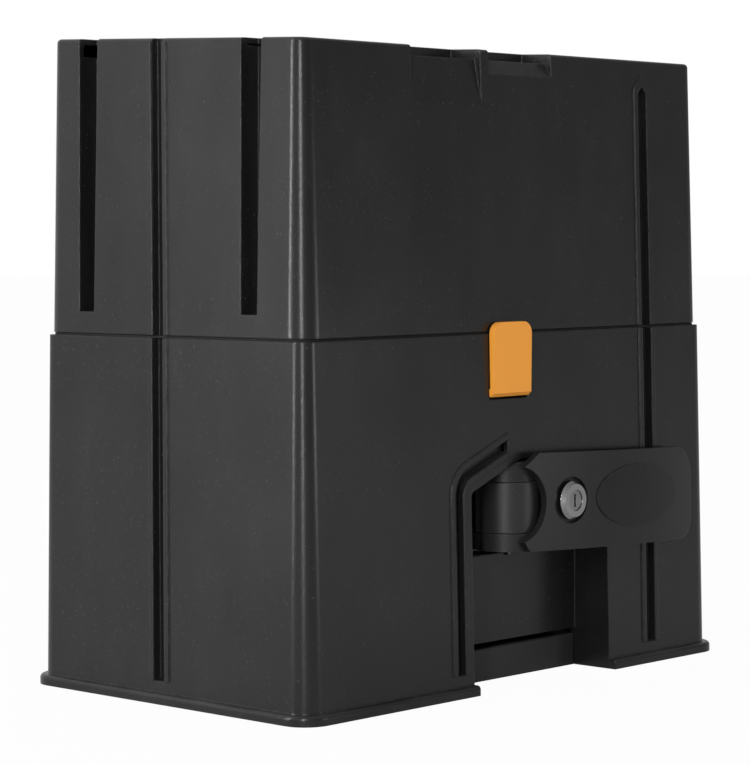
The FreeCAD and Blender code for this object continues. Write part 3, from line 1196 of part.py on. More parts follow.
def hexagon(label, x, y, low, high, across):
    """An upright six-sided prism, across flats."""
    item = doc.addObject("Part::Prism", label)
    item.Label = label
    item.Polygon = 6
    bind(item, "Circumradius", "%s / 2 / cos(30)" % across)
    bind(item, "Height", "(%s) - (%s)" % (high, low))
    return place(item, x, y, low)


def hex_bolt(label, at, head_low, shank_low, radius, across):
    x, y = at
    head = hexagon(label + "_head", x, y, head_low, head_low + " + 0.65 * %s" % across, across)
    shank = cylinder(label + "_shank", "Z", at, (shank_low, head_low), radius)
    return fuse(label, head, shank)


def gearbox_parts():
    gearbox_casing()
    outline = ((CASING_LEFT, CASING_RIGHT), ("-casing_front", "casing_back"))
    rim = [("%s + casing_wall" % low, "%s - casing_wall" % high) for low, high in outline]
    gasket = box("gasket_outside", *outline, ("casing_top", LID_LOW))
    gasket_hole = box("gasket_inside", *rim, ("casing_top - 1", LID_LOW + " + 1"))
    bores = [cylinder("gasket_bore%d" % i, "Z", at, ("casing_top - 1", LID_LOW + " + 1"),
                      "lid_screw") for i, at in enumerate(LID_SCREWS)]
    cut("casing_gasket", gasket, gasket_hole, *bores)
    worm_at = (WORM_X, "wheel_middle")
    plate = box("lid_plate", *outline, (LID_LOW, LID_TOP))
    boss = cylinder("lid_boss", "Z", worm_at, ("casing_top - worm_bearing_width", LID_LOW + " + 3"),
                    "worm_bearing_radius + 1")
    seat = cylinder("lid_seat", "Z", worm_at, ("casing_top - worm_bearing_width - 1", "casing_top"),
                    "worm_bearing_radius")
    hole = cylinder("lid_hole", "Z", worm_at, ("casing_top - 1", LID_TOP + " + 1"),
                    "worm_journal + 2")
    bores = [cylinder("lid_bore%d" % i, "Z", at, (LID_LOW + " - 1", LID_TOP + " + 1"), "lid_screw")
             for i, at in enumerate(LID_SCREWS)]
    cut("gearbox_lid", fuse("lid_blank", plate, boss), seat, hole, *bores)
    group("lid_screws", *[hex_bolt("lid_screw_%d" % i, at, LID_TOP, "casing_top - 8", "lid_screw",
                                   "8") for i, at in enumerate(LID_SCREWS)])
    group("casing_bolts", *[hex_bolt("casing_bolt_%d" % i, at, "casing_floor + tab_thick",
                                     "base_thick + 4", "tab_bolt", "13")
                            for i, at in enumerate(TABS)])
    plug_at = ("0", "casing_floor + 20")
    thread = cylinder("drain_thread", "X", plug_at, (CASING_LEFT, CASING_LEFT + " + 6"),
                      "drain_radius")
    head = cylinder("drain_head", "X", plug_at, (CASING_LEFT + " - 5", CASING_LEFT),
                    "drain_radius + 3")
    socket = cylinder("drain_socket", "X", plug_at, (CASING_LEFT + " - 6", CASING_LEFT + " - 1"),
                      "3.5")
    cut("drain_plug", fuse("drain_blank", thread, head), socket)


def motor_parts():
    at = (WORM_X, "wheel_middle")
    top = LID_TOP + " + motor_length"
    outside = cylinder("can_outside", "Z", at, (LID_TOP, top), "motor_radius")
    inside = cylinder("can_inside", "Z", at, (LID_TOP + " + motor_wall", top + " + 1"),
                      "motor_radius - motor_wall")
    mouth = cylinder("can_mouth", "Z", at, (LID_TOP + " - 1", LID_TOP + " + 9"), "worm_journal + 3")
    cut("motor_can", outside, inside, mouth)
    ring = tube("magnet_ring", "Z", at, (LID_TOP + " + 12", top + " - 15"),
                "motor_radius - motor_wall", "motor_radius - motor_wall - magnet_thick")
    gap = box("magnet_gap", (WORM_X + " - 12", WORM_X + " + 12"), ("-50", "60"), (LID_TOP, top))
    cut("motor_magnets", ring, gap)
    shaft = cylinder("armature_shaft", "Z", at, (LID_LOW + " - 6", top + " + motor_cap - 6"),
                     "motor_shaft")
    stack = cylinder("armature_stack", "Z", at, (LID_TOP + " + 14", top + " - 24"),
                     "armature_radius")
    commutator = cylinder("armature_commutator", "Z", at, (top + " - 18", top + " - 4"), "11")
    slots = []
    for i in range(8):
        slot = box("armature_slot%d" % i, (WORM_X + " + armature_radius - 6", WORM_X + " + 60"),
                   ("wheel_middle - 1.5", "wheel_middle + 1.5"), (LID_TOP + " + 13", top + " - 23"))
        slots.append(slot)
        turn = Rotation(Vector(0, 0, 1), 45 * i)
        pivot = Vector(size(WORM_X), size("wheel_middle"), 0)
        base = Vector(size(WORM_X + " + armature_radius - 6"), size("wheel_middle - 1.5"),
                      size(LID_TOP + " + 13"))
        slot.setExpression("Placement.Base.x", None)
        slot.setExpression("Placement.Base.y", None)
        slot.Placement = Placement(pivot + turn.multVec(base - pivot), turn)
    cut("motor_armature", fuse("armature_blank", shaft, stack, commutator), *slots)
    cap = cylinder("cap_disc", "Z", at, (top, top + " + motor_cap"), "motor_radius")
    dome = cylinder("cap_hub", "Z", at, (top + " + motor_cap", top + " + motor_cap + 4"), "12")
    hollow = cylinder("cap_hollow", "Z", at, (top + " - 1", top + " + motor_cap - 5"),
                      "motor_radius - motor_wall")
    bore = cylinder("cap_bore", "Z", at, (top, top + " + motor_cap"), "motor_shaft + bearing_gap")
    cut("motor_cap", fuse("cap_blank", cap, dome), hollow, bore)


def base_parts():
    half_x = "base_length / 2"
    plate = box("base_plate", ("-" + half_x, half_x), (BASE_FRONT, "base_back"),
                ("0", "base_thick"))
    plinth = box("base_plinth", ("-door_left + 0.5", "door_right - 0.5"),
                 ("-%s + 0.5" % RECESS_BACK, BASE_FRONT + " + 2"), ("0", "plinth_height"))
    legs = [cylinder("base_leg%d" % i, "Z", at, ("base_thick - 2", "casing_floor"), "leg_radius")
            for i, at in enumerate(TABS)]
    cuts = [cylinder("base_hole%d" % i, "Z", ("%d * bolt_spacing_x / 2" % sx,
                                              "%d * bolt_spacing_y / 2" % sy),
                     ("-1", "base_thick + 1"), "bolt_hole")
            for i, (sx, sy) in enumerate(((1, 1), (-1, 1), (-1, -1), (1, -1)))]
    cuts.append(cylinder("base_cable_hole", "Z", ("-cable_place", "0"), ("-1", "base_thick + 1"),
                         "cable_hole"))
    cuts += [cylinder("base_leg_hole%d" % i, "Z", at, ("base_thick + 4", "casing_floor + 1"),
                      "tab_bolt") for i, at in enumerate(TABS)]
    feet = [("%d * foot_screw_x" % sx, "%d * foot_screw_y" % sy)
            for sx, sy in ((1, 1), (-1, 1), (-1, -1), (1, -1))]
    cuts += [cylinder("base_foot_hole%d" % i, "Z", at, ("1", "base_thick + 1"), "foot_screw")
             for i, at in enumerate(feet)]
    cut("base_casting", fuse("base_blank", plate, plinth, *legs), *cuts)
    screws = []
    for i, at in enumerate(feet):
        top = "base_thick + wall"
        head = cylinder("foot_screw_head%d" % i, "Z", at, (top, top + " + 2.4"), "foot_screw * 2.2")
        shank = cylinder("foot_screw_shank%d" % i, "Z", at, ("2", top), "foot_screw")
        screws.append(fuse("foot_screw_%d" % i, head, shank))
    group("housing_screws", *screws)
    gland_at = ("-cable_place", "0")
    sleeve = tube("gland_sleeve", "Z", gland_at, ("0", "base_thick"), "cable_hole",
                  "cable_hole - 4")
    flange = tube("gland_flange", "Z", gland_at, ("base_thick", "base_thick + 3"),
                  "cable_hole + 3", "cable_hole - 4")
    fuse("cable_gland", sleeve, flange)


# ---------------------------------------------------------------- equipment under the cover

def equipment_tray():
    piece = body("equipment_tray")
    half_x = wall_half("housing_length", TRAY_TOP) + " - wall - channel_depth - 1.5"
    half_y = wall_half("housing_width", TRAY_TOP) + " - wall - channel_depth - 1.5"
    outline = rounded_rectangle(sketch(piece, "XY", TRAY_LOW), half_x, half_y, "6")
    feature(piece, "Pad", outline, Length="tray_thick + tray_rim")
    hollow = sketch(piece, "XY", TRAY_TOP)
    rounded_rectangle(hollow, half_x + " - 2.5", half_y + " - 2.5", "3.5")
    feature(piece, "Pocket", hollow, Length="tray_rim + 1", Reversed=True)
    holes = sketch(piece, "XY", TRAY_TOP + " + 1")
    circle(holes, WORM_X, "wheel_middle", "motor_radius + 4")
    circle(holes, "-cable_place", "-wheel_hub_radius * 3", "10")
    feature(piece, "Pocket", holes, Length="tray_thick + 5")


def equipment_parts():
    equipment_tray()
    low = TRAY_TOP
    right = "-battery_end + battery_length"
    high = "%s + battery_height" % low
    y = ("battery_front", "battery_front + battery_width")
    box("battery", ("-battery_end", right), y, (low, high))
    group("battery_terminals", *[
        box("terminal_%d" % i, ("%s - 4" % x, "%s + 4" % x),
            ("battery_front + 6", "battery_front + 14"), (high, high + " + 6"))
        for i, x in enumerate(("(-battery_end + 18)", "(%s - 18)" % right))])
    middle = "(-battery_end + battery_length / 2)"
    strap = box("strap_outside", (middle + " - 10", middle + " + 10"),
                (y[0] + " - 1.6", y[1] + " + 1.6"), (low, high + " + 1.6"))
    void = box("strap_inside", (middle + " - 11", middle + " + 11"), y, (low + " - 1", high))
    cut("battery_strap", strap, void)
    x = ("-board_left - 5", "-board_left + board_length + 5")
    back = "-board_front + 7"
    upright = box("bracket_upright", x, (back, back + " + 2.5"), (low, low + " + board_height + 15"))
    foot = box("bracket_foot", x, (back, back + " + 16"), (low, low + " + 2.5"))
    fuse("controller_bracket", upright, foot)
    board = (low + " + 11", low + " + 11 + board_height")
    face = "-board_front"
    box("controller_board", ("-board_left", "-board_left + board_length"),
        (face, face + " + 1.6"), board)
    posts = [cylinder("standoff_%d" % i, "Y", (px, pz), (face + " + 1.6", back), "3")
             for i, (px, pz) in enumerate([(a, b) for a in ("-board_left + 6",
                                                            "-board_left + board_length - 6")
                                           for b in (board[0] + " + 6", board[1] + " - 6")])]
    group("board_standoffs", *posts)
    blocks = []
    for i in range(4):
        at = "-board_left + %d" % (14 + 30 * i)
        blocks.append(box("block_%d" % i, (at, at + " + 24"), (face + " - 9", face),
                          (board[0] + " + 4", board[0] + " + 13")))
    group("terminal_blocks", *blocks)
    relays = []
    for i in range(3):
        at = "-board_left + %d" % (20 + 26 * i)
        relays.append(box("relay_%d" % i, (at, at + " + 19"), (face + " - 15", face),
                          (board[0] + " + 62", board[0] + " + 77")))
    group("board_relays", *relays)
    plate = box("sink_plate", ("-board_left + 104", "-board_left + 132"), (face + " - 4", face),
                (board[0] + " + 40", board[0] + " + 88"))
    fins = [box("sink_fin%d" % i, ("-board_left + %d" % (104 + 6.5 * i),
                                   "-board_left + %d" % (104 + 6.5 * i) + " + 2"),
                (face + " - 16", face), (board[0] + " + 40", board[0] + " + 88"))
            for i in range(5)]
    fuse("board_heatsink", plate, *fins)
    solid = box("charger_case", ("charger_place", "charger_place + charger_thick"),
                ("-charger_length / 2", "charger_length / 2"), (low, low + " + charger_height"))
    vents = [box("charger_vent%d" % i, ("charger_place - 1", "charger_place + 1.2"),
                 ("%d" % (-44 + 16 * i), "%d" % (-36 + 16 * i)),
                 (low + " + 14", low + " + charger_height - 12")) for i in range(6)]
    cut("charger_unit", solid, *vents)


# ---------------------------------------------------------------- build

casing_parts()
release_parts()
gear_parts()
gearbox_parts()
motor_parts()
base_parts()
equipment_parts()
doc.recompute()

NODES = (
    "lower_housing", "top_cover", "cover_seal", "cover_clip", "clip_pin",
    "release_lever", "badge_plate", "release_hub", "release_bracket", "release_spindle",
    "lever_screws", "camlock_barrel", "camlock_plug", "camlock_nut", "camlock_cam",
    "camlock_screw", "lock_keeper", "release_plunger", "drive_pin", "plunger_spring",
    "output_shaft", "front_bearing", "rear_bearing", "oil_seal", "shaft_spacer", "circlip",
    "pinion_key", "output_pinion", "worm_wheel", "worm_shaft", "worm_bearing_low",
    "worm_bearing_high", "gearbox_casing", "casing_gasket", "gearbox_lid", "lid_screws",
    "casing_bolts", "drain_plug", "motor_can", "motor_magnets", "motor_armature", "motor_cap",
    "base_casting", "housing_screws", "cable_gland", "equipment_tray", "battery",
    "battery_terminals", "battery_strap", "controller_bracket", "controller_board",
    "board_standoffs", "terminal_blocks", "board_relays", "board_heatsink", "charger_unit",
)

faults = []
for item in doc.Objects:
    if "Invalid" in item.State or "Error" in item.State:
        faults.append("%s: %s" % (item.Label, item.State))
os.makedirs("parts", exist_ok=True)
for name in NODES:
    found = doc.getObjectsByLabel(name)
    if len(found) != 1:
        faults.append("%s: %d objects" % (name, len(found)))
        continue
    shape = found[0].Shape
    if shape.isNull() or not shape.isValid() or shape.Volume <= 0:
        faults.append("%s: bad shape" % name)
        continue
    shape.exportStep("parts/%s.step" % name)
if faults:
    raise RuntimeError("\n".join(faults))
print("%d nodes written" % len(NODES))
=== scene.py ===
"""Finishes, lights and camera for the sliding gate motor, laid out as an add-on."""

import math

import bpy
from bpy.props import FloatProperty, FloatVectorProperty, PointerProperty
from bpy.types import Operator, Panel, PropertyGroup
from mathutils import Matrix, Vector

bl_info = {
    "name": "Sliding gate motor finishes",
    "version": (1, 0, 0),
    "blender": (4, 5, 0),
    "location": "View3D > Sidebar > Gate motor",
    "description": "Dresses the packed gate motor with its plastics, metals and studio light",
    "category": "Material",
}

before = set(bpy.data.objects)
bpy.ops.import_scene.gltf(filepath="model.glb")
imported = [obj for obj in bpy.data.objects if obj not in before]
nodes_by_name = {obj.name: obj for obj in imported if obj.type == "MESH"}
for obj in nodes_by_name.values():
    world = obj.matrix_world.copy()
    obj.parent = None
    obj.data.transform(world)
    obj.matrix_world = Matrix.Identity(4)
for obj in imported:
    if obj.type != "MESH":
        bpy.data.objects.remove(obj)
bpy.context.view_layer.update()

# Lengths in metres, angles in radians, colours as linear red, green, blue.
WHITE = (1.0, 1.0, 1.0, 1.0)
SPECK_COLOUR = (0.32, 0.31, 0.29, 1.0)
DUST_COLOUR = (0.36, 0.34, 0.3, 1.0)

# Paler edges on steel and castings: partly wear, partly a painted highlight along the edges.
STEEL_EDGE = 0.0004
STEEL_WEAR_AND_HIGHLIGHT = 0.5
STEEL_WORN_AND_HIGHLIT = 1.35
CAST_WEAR_AND_HIGHLIGHT = 0.4
CAST_WORN_AND_HIGHLIT = 1.5
CAST_DUST = 0.15
CAST_SHINE = 0.3
WEBBING_ROUGHNESS = 0.85
WEBBING_DEPTH = 0.0002

FLOOR_REACH = 12.0
FLOOR_DROP = 0.0002
FLOOR_ROUGHNESS = 0.9
FLOOR_SEEN = 0.97
FLOOR_MIRRORED = 0.25

LAMP_AIM = (0.0, 0.0, 0.17)
STRIP_WIDTH, STRIP_HEIGHT = 0.12, 1.6
FRONT_STRIP_PLACE = (-1.6, -1.04, 0.6)
SIDE_STRIP_PLACE = (-1.74, 0.885, 0.6)
LOW_LAMP_PLACE = (0.8, -1.6, 0.08)
LOW_LAMP_AIM = (0.05, 0.0, 0.1)
LOW_LAMP_SIDE = 0.3

CAMERA_PLACE = (-1.06265, -0.99218, 0.23397)
CAMERA_YAW, CAMERA_PITCH, CAMERA_ROLL = 0.816, 0.0537, -0.0056
CAMERA_CLIP = (0.05, 60.0)
SENSOR_WIDTH = 36.0


# ---------------------------------------------------------------- node helpers

class Sheet:
    """A node tree with short ways to add and join nodes."""

    def __init__(self, tree):
        self.tree = tree

    def add(self, kind, **values):
        node = self.tree.nodes.new(kind)
        for name, value in values.items():
            setattr(node, name, value)
        return node

    def join(self, source, target):
        self.tree.links.new(source, target)

    def feed(self, socket, value):
        """Put a link or a plain value on an input."""
        if isinstance(value, bpy.types.NodeSocket):
            self.join(value, socket)
        elif value is not None:
            socket.default_value = value

    def math(self, operation, first, second=None, clamp=False):
        node = self.add("ShaderNodeMath", operation=operation, use_clamp=clamp)
        self.feed(node.inputs[0], first)
        self.feed(node.inputs[1], second)
        return node.outputs[0]

    def swing(self, value, width):
        """Centre a value between 0 and 1 on zero, and scale it."""
        return self.math("MULTIPLY", self.math("SUBTRACT", value, 0.5), width)

    def mix_numbers(self, amount, first, second):
        """Mix two numbers."""
        node = self.add("ShaderNodeMix")
        self.feed(node.inputs[0], amount)
        self.feed(node.inputs[2], first)
        self.feed(node.inputs[3], second)
        return node.outputs[0]

    def blend(self, amount, first, second):
        """Mix two colours."""
        node = self.add("ShaderNodeMix", data_type="RGBA")
        self.feed(node.inputs[0], amount)
        self.feed(node.inputs[6], first)
        self.feed(node.inputs[7], second)
        return node.outputs[2]

    def span(self, value, low, high, to_low=0.0, to_high=1.0):
        """Map a range onto another, without going past its ends."""
        node = self.add("ShaderNodeMapRange", clamp=True)
        self.feed(node.inputs[0], value)
        for i, number in enumerate((low, high, to_low, to_high), start=1):
            self.feed(node.inputs[i], number)
        return node.outputs[0]

    def noise(self, vector, scale, detail=3.0, rough=0.5):
        node = self.add("ShaderNodeTexNoise")
        self.feed(node.inputs["Vector"], vector)
        self.feed(node.inputs["Scale"], scale)
        self.feed(node.inputs["Detail"], detail)
        self.feed(node.inputs["Roughness"], rough)
        return node.outputs["Fac"]

    def stretch(self, vector, scale):
        node = self.add("ShaderNodeMapping")
        self.feed(node.inputs["Vector"], vector)
        self.feed(node.inputs["Scale"], scale)
        return node.outputs["Vector"]


def effect(name, takes, gives, fill):
    """Make a shader node group once; fill(sheet, inputs, outputs) joins its nodes."""
    group = bpy.data.node_groups.new(name, "ShaderNodeTree")
    for title, kind, default in takes:
        socket = group.interface.new_socket(title, in_out="INPUT", socket_type=kind)
        if default is not None:
            socket.default_value = default
    for title, kind in gives:
        group.interface.new_socket(title, in_out="OUTPUT", socket_type=kind)
    sheet = Sheet(group)
    inputs = sheet.add("NodeGroupInput")
    outputs = sheet.add("NodeGroupOutput")
    fill(sheet, inputs.outputs, outputs.inputs)
    return group


FLOAT, COLOR, VECTOR = "NodeSocketFloat", "NodeSocketColor", "NodeSocketVector"


def fill_moulded(sheet, inputs, outputs):
    """Eroded mould texture with slow cloudy changes of tone and gloss."""
    place = inputs["Place"]
    upright = sheet.stretch(place, (1.0, 1.0, 0.25))
    cloud = sheet.noise(place, scale=14.0, detail=4.0, rough=0.6)
    flow = sheet.noise(upright, scale=55.0, detail=3.0, rough=0.55)
    grain = sheet.noise(place, scale=inputs["Grain Scale"], detail=2.0, rough=0.6)
    dots = sheet.noise(place, scale=900.0, detail=1.0, rough=0.5)
    speck = sheet.math("GREATER_THAN", dots, 0.735)
    tone = sheet.math("ADD", sheet.math("MULTIPLY", cloud, 0.6),
                      sheet.math("MULTIPLY", flow, 0.4))
    mixed = sheet.blend(sheet.span(tone, 0.35, 0.65), inputs["Colour"],
                        inputs["Pale Colour"])
    amount = sheet.math("MULTIPLY", speck, inputs["Specks"])
    sheet.join(sheet.blend(amount, mixed, SPECK_COLOUR), outputs["Colour"])
    gloss = sheet.math("ADD", inputs["Roughness"], sheet.swing(tone, 0.16))
    sheet.join(sheet.math("ADD", gloss, sheet.swing(grain, 0.12), True),
               outputs["Roughness"])
    sheet.join(grain, outputs["Height"])


def fill_worn_and_highlit_edges(sheet, inputs, outputs):
    """Pale the colour along edges, broken up by noise: partly rubbed wear, partly a painted
    highlight along the edges.
    """
    rounded = sheet.add("ShaderNodeBevel", samples=4)
    sheet.join(inputs["Width"], rounded.inputs["Radius"])
    flat = sheet.add("ShaderNodeNewGeometry")
    turn = sheet.add("ShaderNodeVectorMath", operation="DOT_PRODUCT")
    sheet.join(rounded.outputs["Normal"], turn.inputs[0])
    sheet.join(flat.outputs["Normal"], turn.inputs[1])
    # Edge mask: the paler colour here is partly wear and partly a painted highlight along the
    # edges.
    edge = sheet.span(turn.outputs["Value"], 0.995, 0.86)
    wear_highlight_noise = sheet.noise(inputs["Place"], scale=160.0, detail=5.0, rough=0.7)
    patches = sheet.span(wear_highlight_noise, 0.38, 0.62)
    mask = sheet.math("MULTIPLY", sheet.math("MULTIPLY", edge, patches), inputs["Wear"], True)
    sheet.join(sheet.blend(mask, inputs["Colour"], inputs["Worn Colour"]), outputs["Colour"])
    sheet.join(rounded.outputs["Normal"], outputs["Normal"])


def fill_dust(sheet, inputs, outputs):
    """Settle pale dust where a surface looks up, thicker in patches."""
    facing = sheet.add("ShaderNodeSeparateXYZ")
    sheet.join(sheet.add("ShaderNodeNewGeometry").outputs["Normal"], facing.inputs[0])
    up = sheet.span(facing.outputs["Z"], 0.2, 1.0)
    drifts = sheet.noise(inputs["Place"], scale=35.0, detail=6.0, rough=0.65)
    patches = sheet.span(drifts, 0.3, 0.75)
    mask = sheet.math("MULTIPLY", sheet.math("MULTIPLY", up, patches), inputs["Amount"], True)
    sheet.join(sheet.blend(mask, inputs["Colour"], DUST_COLOUR), outputs["Colour"])
    dulled = sheet.math("MULTIPLY", mask, 0.4)
    sheet.join(sheet.math("ADD", inputs["Roughness"], dulled, True), outputs["Roughness"])


def fill_machined(sheet, inputs, outputs):
    """Fine tool lines along one direction, with faint stains."""
    along = sheet.stretch(inputs["Place"], inputs["Lay"])
    lines = sheet.noise(along, scale=60.0, detail=4.0, rough=0.7)
    stain = sheet.noise(inputs["Place"], scale=40.0, detail=5.0, rough=0.6)
    shade = sheet.blend(sheet.span(stain, 0.4, 0.72), inputs["Colour"],
                        inputs["Stain Colour"])
    bright = sheet.add("ShaderNodeBrightContrast")
    sheet.join(shade, bright.inputs["Color"])
    sheet.join(sheet.swing(lines, 0.12), bright.inputs["Bright"])
    sheet.join(bright.outputs[0], outputs["Colour"])
    sheet.join(sheet.math("ADD", inputs["Roughness"], sheet.swing(lines, 0.3), True),
               outputs["Roughness"])
    sheet.join(lines, outputs["Height"])


def fill_cast(sheet, inputs, outputs):
    """Die-cast skin: pebbled and cloudy."""
    pebbles = sheet.add("ShaderNodeTexVoronoi", feature="SMOOTH_F1")
    sheet.join(inputs["Place"], pebbles.inputs["Vector"])
    sheet.join(inputs["Pebble Scale"], pebbles.inputs["Scale"])
    cloud = sheet.noise(inputs["Place"], scale=22.0, detail=6.0, rough=0.65)
    sheet.join(sheet.blend(sheet.span(cloud, 0.35, 0.7), inputs["Colour"],
                           inputs["Dull Colour"]), outputs["Colour"])
    sheet.join(sheet.math("ADD", inputs["Roughness"], sheet.swing(cloud, 0.25), True),
               outputs["Roughness"])
    cells = sheet.math("MULTIPLY", pebbles.outputs["Distance"], 0.6)
    sheet.join(sheet.math("ADD", cells, cloud), outputs["Height"])


def fill_webbing(sheet, inputs, outputs):
    """Woven tape: ribs across, picks along, frayed tone."""
    split = sheet.add("ShaderNodeSeparateXYZ")
    sheet.join(inputs["Place"], split.inputs[0])
    across = sheet.math("ADD", split.outputs["Y"], split.outputs["Z"])
    ribs = sheet.math("SINE", sheet.math("MULTIPLY", across, inputs["Rib Scale"]))
    picks = sheet.math("SINE", sheet.math("MULTIPLY", split.outputs["X"], inputs["Rib Scale"]))
    weave = sheet.math("MULTIPLY", ribs, picks)
    fray = sheet.noise(inputs["Place"], scale=500.0, detail=3.0, rough=0.6)
    threads = sheet.math("ADD", sheet.math("MULTIPLY", weave, 0.5), fray)
    sheet.join(sheet.blend(sheet.span(threads, 0.1, 1.1), inputs["Colour"],
                           inputs["Thread Colour"]), outputs["Colour"])
    sheet.join(weave, outputs["Height"])


EFFECTS = {}


def make_effects():
    """Make the shared node groups that the finishes are built from."""
    black = (0.02, 0.02, 0.02, 1.0)
    pale = (0.04, 0.04, 0.04, 1.0)
    EFFECTS["moulded"] = effect(
        "Moulded skin",
        [("Place", VECTOR, None), ("Colour", COLOR, black), ("Pale Colour", COLOR, pale),
         ("Roughness", FLOAT, 0.45), ("Grain Scale", FLOAT, 1500.0),
         ("Specks", FLOAT, 0.2)],
        [("Colour", COLOR), ("Roughness", FLOAT), ("Height", FLOAT)], fill_moulded)
    # Paler edges: partly wear, partly a painted highlight along the edges.
    EFFECTS["edges"] = effect(
        "Worn and highlit edges",
        [("Place", VECTOR, None), ("Colour", COLOR, black), ("Worn Colour", COLOR, pale),
         ("Width", FLOAT, 0.0008), ("Wear", FLOAT, 0.5)],
        [("Colour", COLOR), ("Normal", VECTOR)], fill_worn_and_highlit_edges)
    EFFECTS["dust"] = effect(
        "Settled dust",
        [("Place", VECTOR, None), ("Colour", COLOR, black), ("Roughness", FLOAT, 0.5),
         ("Amount", FLOAT, 0.2)],
        [("Colour", COLOR), ("Roughness", FLOAT)], fill_dust)
    EFFECTS["machined"] = effect(
        "Tool lines",
        [("Place", VECTOR, None), ("Lay", VECTOR, (1.0, 1.0, 1.0)), ("Colour", COLOR, pale),
         ("Stain Colour", COLOR, pale), ("Roughness", FLOAT, 0.3)],
        [("Colour", COLOR), ("Roughness", FLOAT), ("Height", FLOAT)], fill_machined)
    EFFECTS["cast"] = effect(
        "Cast skin",
        [("Place", VECTOR, None), ("Colour", COLOR, pale), ("Dull Colour", COLOR, pale),
         ("Roughness", FLOAT, 0.5), ("Pebble Scale", FLOAT, 700.0)],
        [("Colour", COLOR), ("Roughness", FLOAT), ("Height", FLOAT)], fill_cast)
    EFFECTS["webbing"] = effect(
        "Woven tape",
        [("Place", VECTOR, None), ("Colour", COLOR, black), ("Thread Colour", COLOR, pale),
         ("Rib Scale", FLOAT, 3800.0)],
        [("Colour", COLOR), ("Height", FLOAT)], fill_webbing)


def rgba(colour, factor=1.0):
    """Turn three colour values into four, scaled where asked."""
    return (colour[0] * factor, colour[1] * factor, colour[2] * factor, 1.0)


class Finish:
    """One material: its surface shader, and the effects placed before it."""

    def __init__(self, name):
        self.material = bpy.data.materials.new(name)
        self.material.use_nodes = True
        self.sheet = Sheet(self.material.node_tree)
        self.surface = self.material.node_tree.nodes["Principled BSDF"]
        self.place = self.sheet.add("ShaderNodeTexCoord").outputs["Object"]

    def use(self, effect_name, **values):
        """Add an effect; an underscore in a value's name stands for a space."""
        node = self.sheet.add("ShaderNodeGroup")
        node.node_tree = EFFECTS[effect_name]
        self.sheet.join(self.place, node.inputs["Place"])
        for title, value in values.items():
            self.sheet.feed(node.inputs[title.replace("_", " ")], value)
        return node.outputs

    def relief(self, height, distance, normal=None):
        """Bump the surface by a height, over the softened edges where given."""
        node = self.sheet.add("ShaderNodeBump")
        node.inputs["Strength"].default_value = 1.0
        node.inputs["Distance"].default_value = distance
        self.sheet.join(height, node.inputs["Height"])
        if normal is not None:
            self.sheet.join(normal, node.inputs["Normal"])
        self.sheet.join(node.outputs[0], self.surface.inputs["Normal"])

    def set(self, title, value):
        self.sheet.feed(self.surface.inputs[title], value)


def plastic(name, colour, pale, wear_highlight, roughness, grain=1500.0, depth=0.00004, edge=0.0009,
            wear_and_highlight=0.35, dust=0.12, specks=0.12, shine=0.35):
    """Moulded plastic with a fine eroded grain, and edges painted paler: partly wear, partly a
    painted highlight.
    """
    finish = Finish(name)
    skin = finish.use("moulded", Colour=rgba(colour), Pale_Colour=rgba(pale),
                      Roughness=roughness, Grain_Scale=grain, Specks=specks)
    # Paler edges: partly wear, partly a painted highlight along the edges.
    edges = finish.use("edges", Colour=skin["Colour"], Worn_Colour=rgba(wear_highlight), Width=edge,
                       Wear=wear_and_highlight)
    film = finish.use("dust", Colour=edges["Colour"], Roughness=skin["Roughness"], Amount=dust)
    finish.set("Base Color", film["Colour"])
    finish.set("Roughness", film["Roughness"])
    finish.set("Specular IOR Level", shine)
    finish.relief(skin["Height"], depth, edges["Normal"])
    return finish.material


def steel(name, colour, stain, roughness, lay=(1.0, 12.0, 1.0), depth=0.00001):
    """Turned, ground or plated steel."""
    finish = Finish(name)
    lines = finish.use("machined", Lay=lay, Colour=rgba(colour), Stain_Colour=rgba(stain),
                       Roughness=roughness)
    # Paler edges: partly wear, partly a painted highlight along the edges.
    edges = finish.use("edges", Colour=lines["Colour"], Worn_Colour=rgba(colour, STEEL_WORN_AND_HIGHLIT),
                       Width=STEEL_EDGE, Wear=STEEL_WEAR_AND_HIGHLIGHT)
    finish.set("Base Color", edges["Colour"])
    finish.set("Roughness", lines["Roughness"])
    finish.set("Metallic", 1.0)
    finish.relief(lines["Height"], depth, edges["Normal"])
    return finish.material


def casting(name, colour, dull, roughness, pebble=650.0, depth=0.00012, metallic=1.0,
            edge=0.001):
    """Die-cast metal, bare or painted."""
    finish = Finish(name)
    skin = finish.use("cast", Colour=rgba(colour), Dull_Colour=rgba(dull), Roughness=roughness,
                      Pebble_Scale=pebble)
    # Paler edges: partly wear, partly a painted highlight along the edges.
    edges = finish.use("edges", Colour=skin["Colour"], Worn_Colour=rgba(colour, CAST_WORN_AND_HIGHLIT),
                       Width=edge, Wear=CAST_WEAR_AND_HIGHLIGHT)
    film = finish.use("dust", Colour=edges["Colour"], Roughness=skin["Roughness"],
                      Amount=CAST_DUST)
    finish.set("Base Color", film["Colour"])
    finish.set("Roughness", film["Roughness"])
    finish.set("Metallic", metallic)
    finish.set("Specular IOR Level", CAST_SHINE)
    finish.relief(skin["Height"], depth, edges["Normal"])
    return finish.material


def webbing(name, colour, thread):
    """Woven strap."""
    finish = Finish(name)
    tape = finish.use("webbing", Colour=rgba(colour), Thread_Colour=rgba(thread))
    finish.set("Base Color", tape["Colour"])
    finish.set("Roughness", WEBBING_ROUGHNESS)
    finish.relief(tape["Height"], WEBBING_DEPTH)
    return finish.material


def dress(material, *names):
    """Put a finish on CAD nodes."""
    for name in names:
        node = nodes_by_name[name]
        if not node.data.materials:
            node.data.materials.append(material)
        for i in range(len(node.data.materials)):
            node.data.materials[i] = material


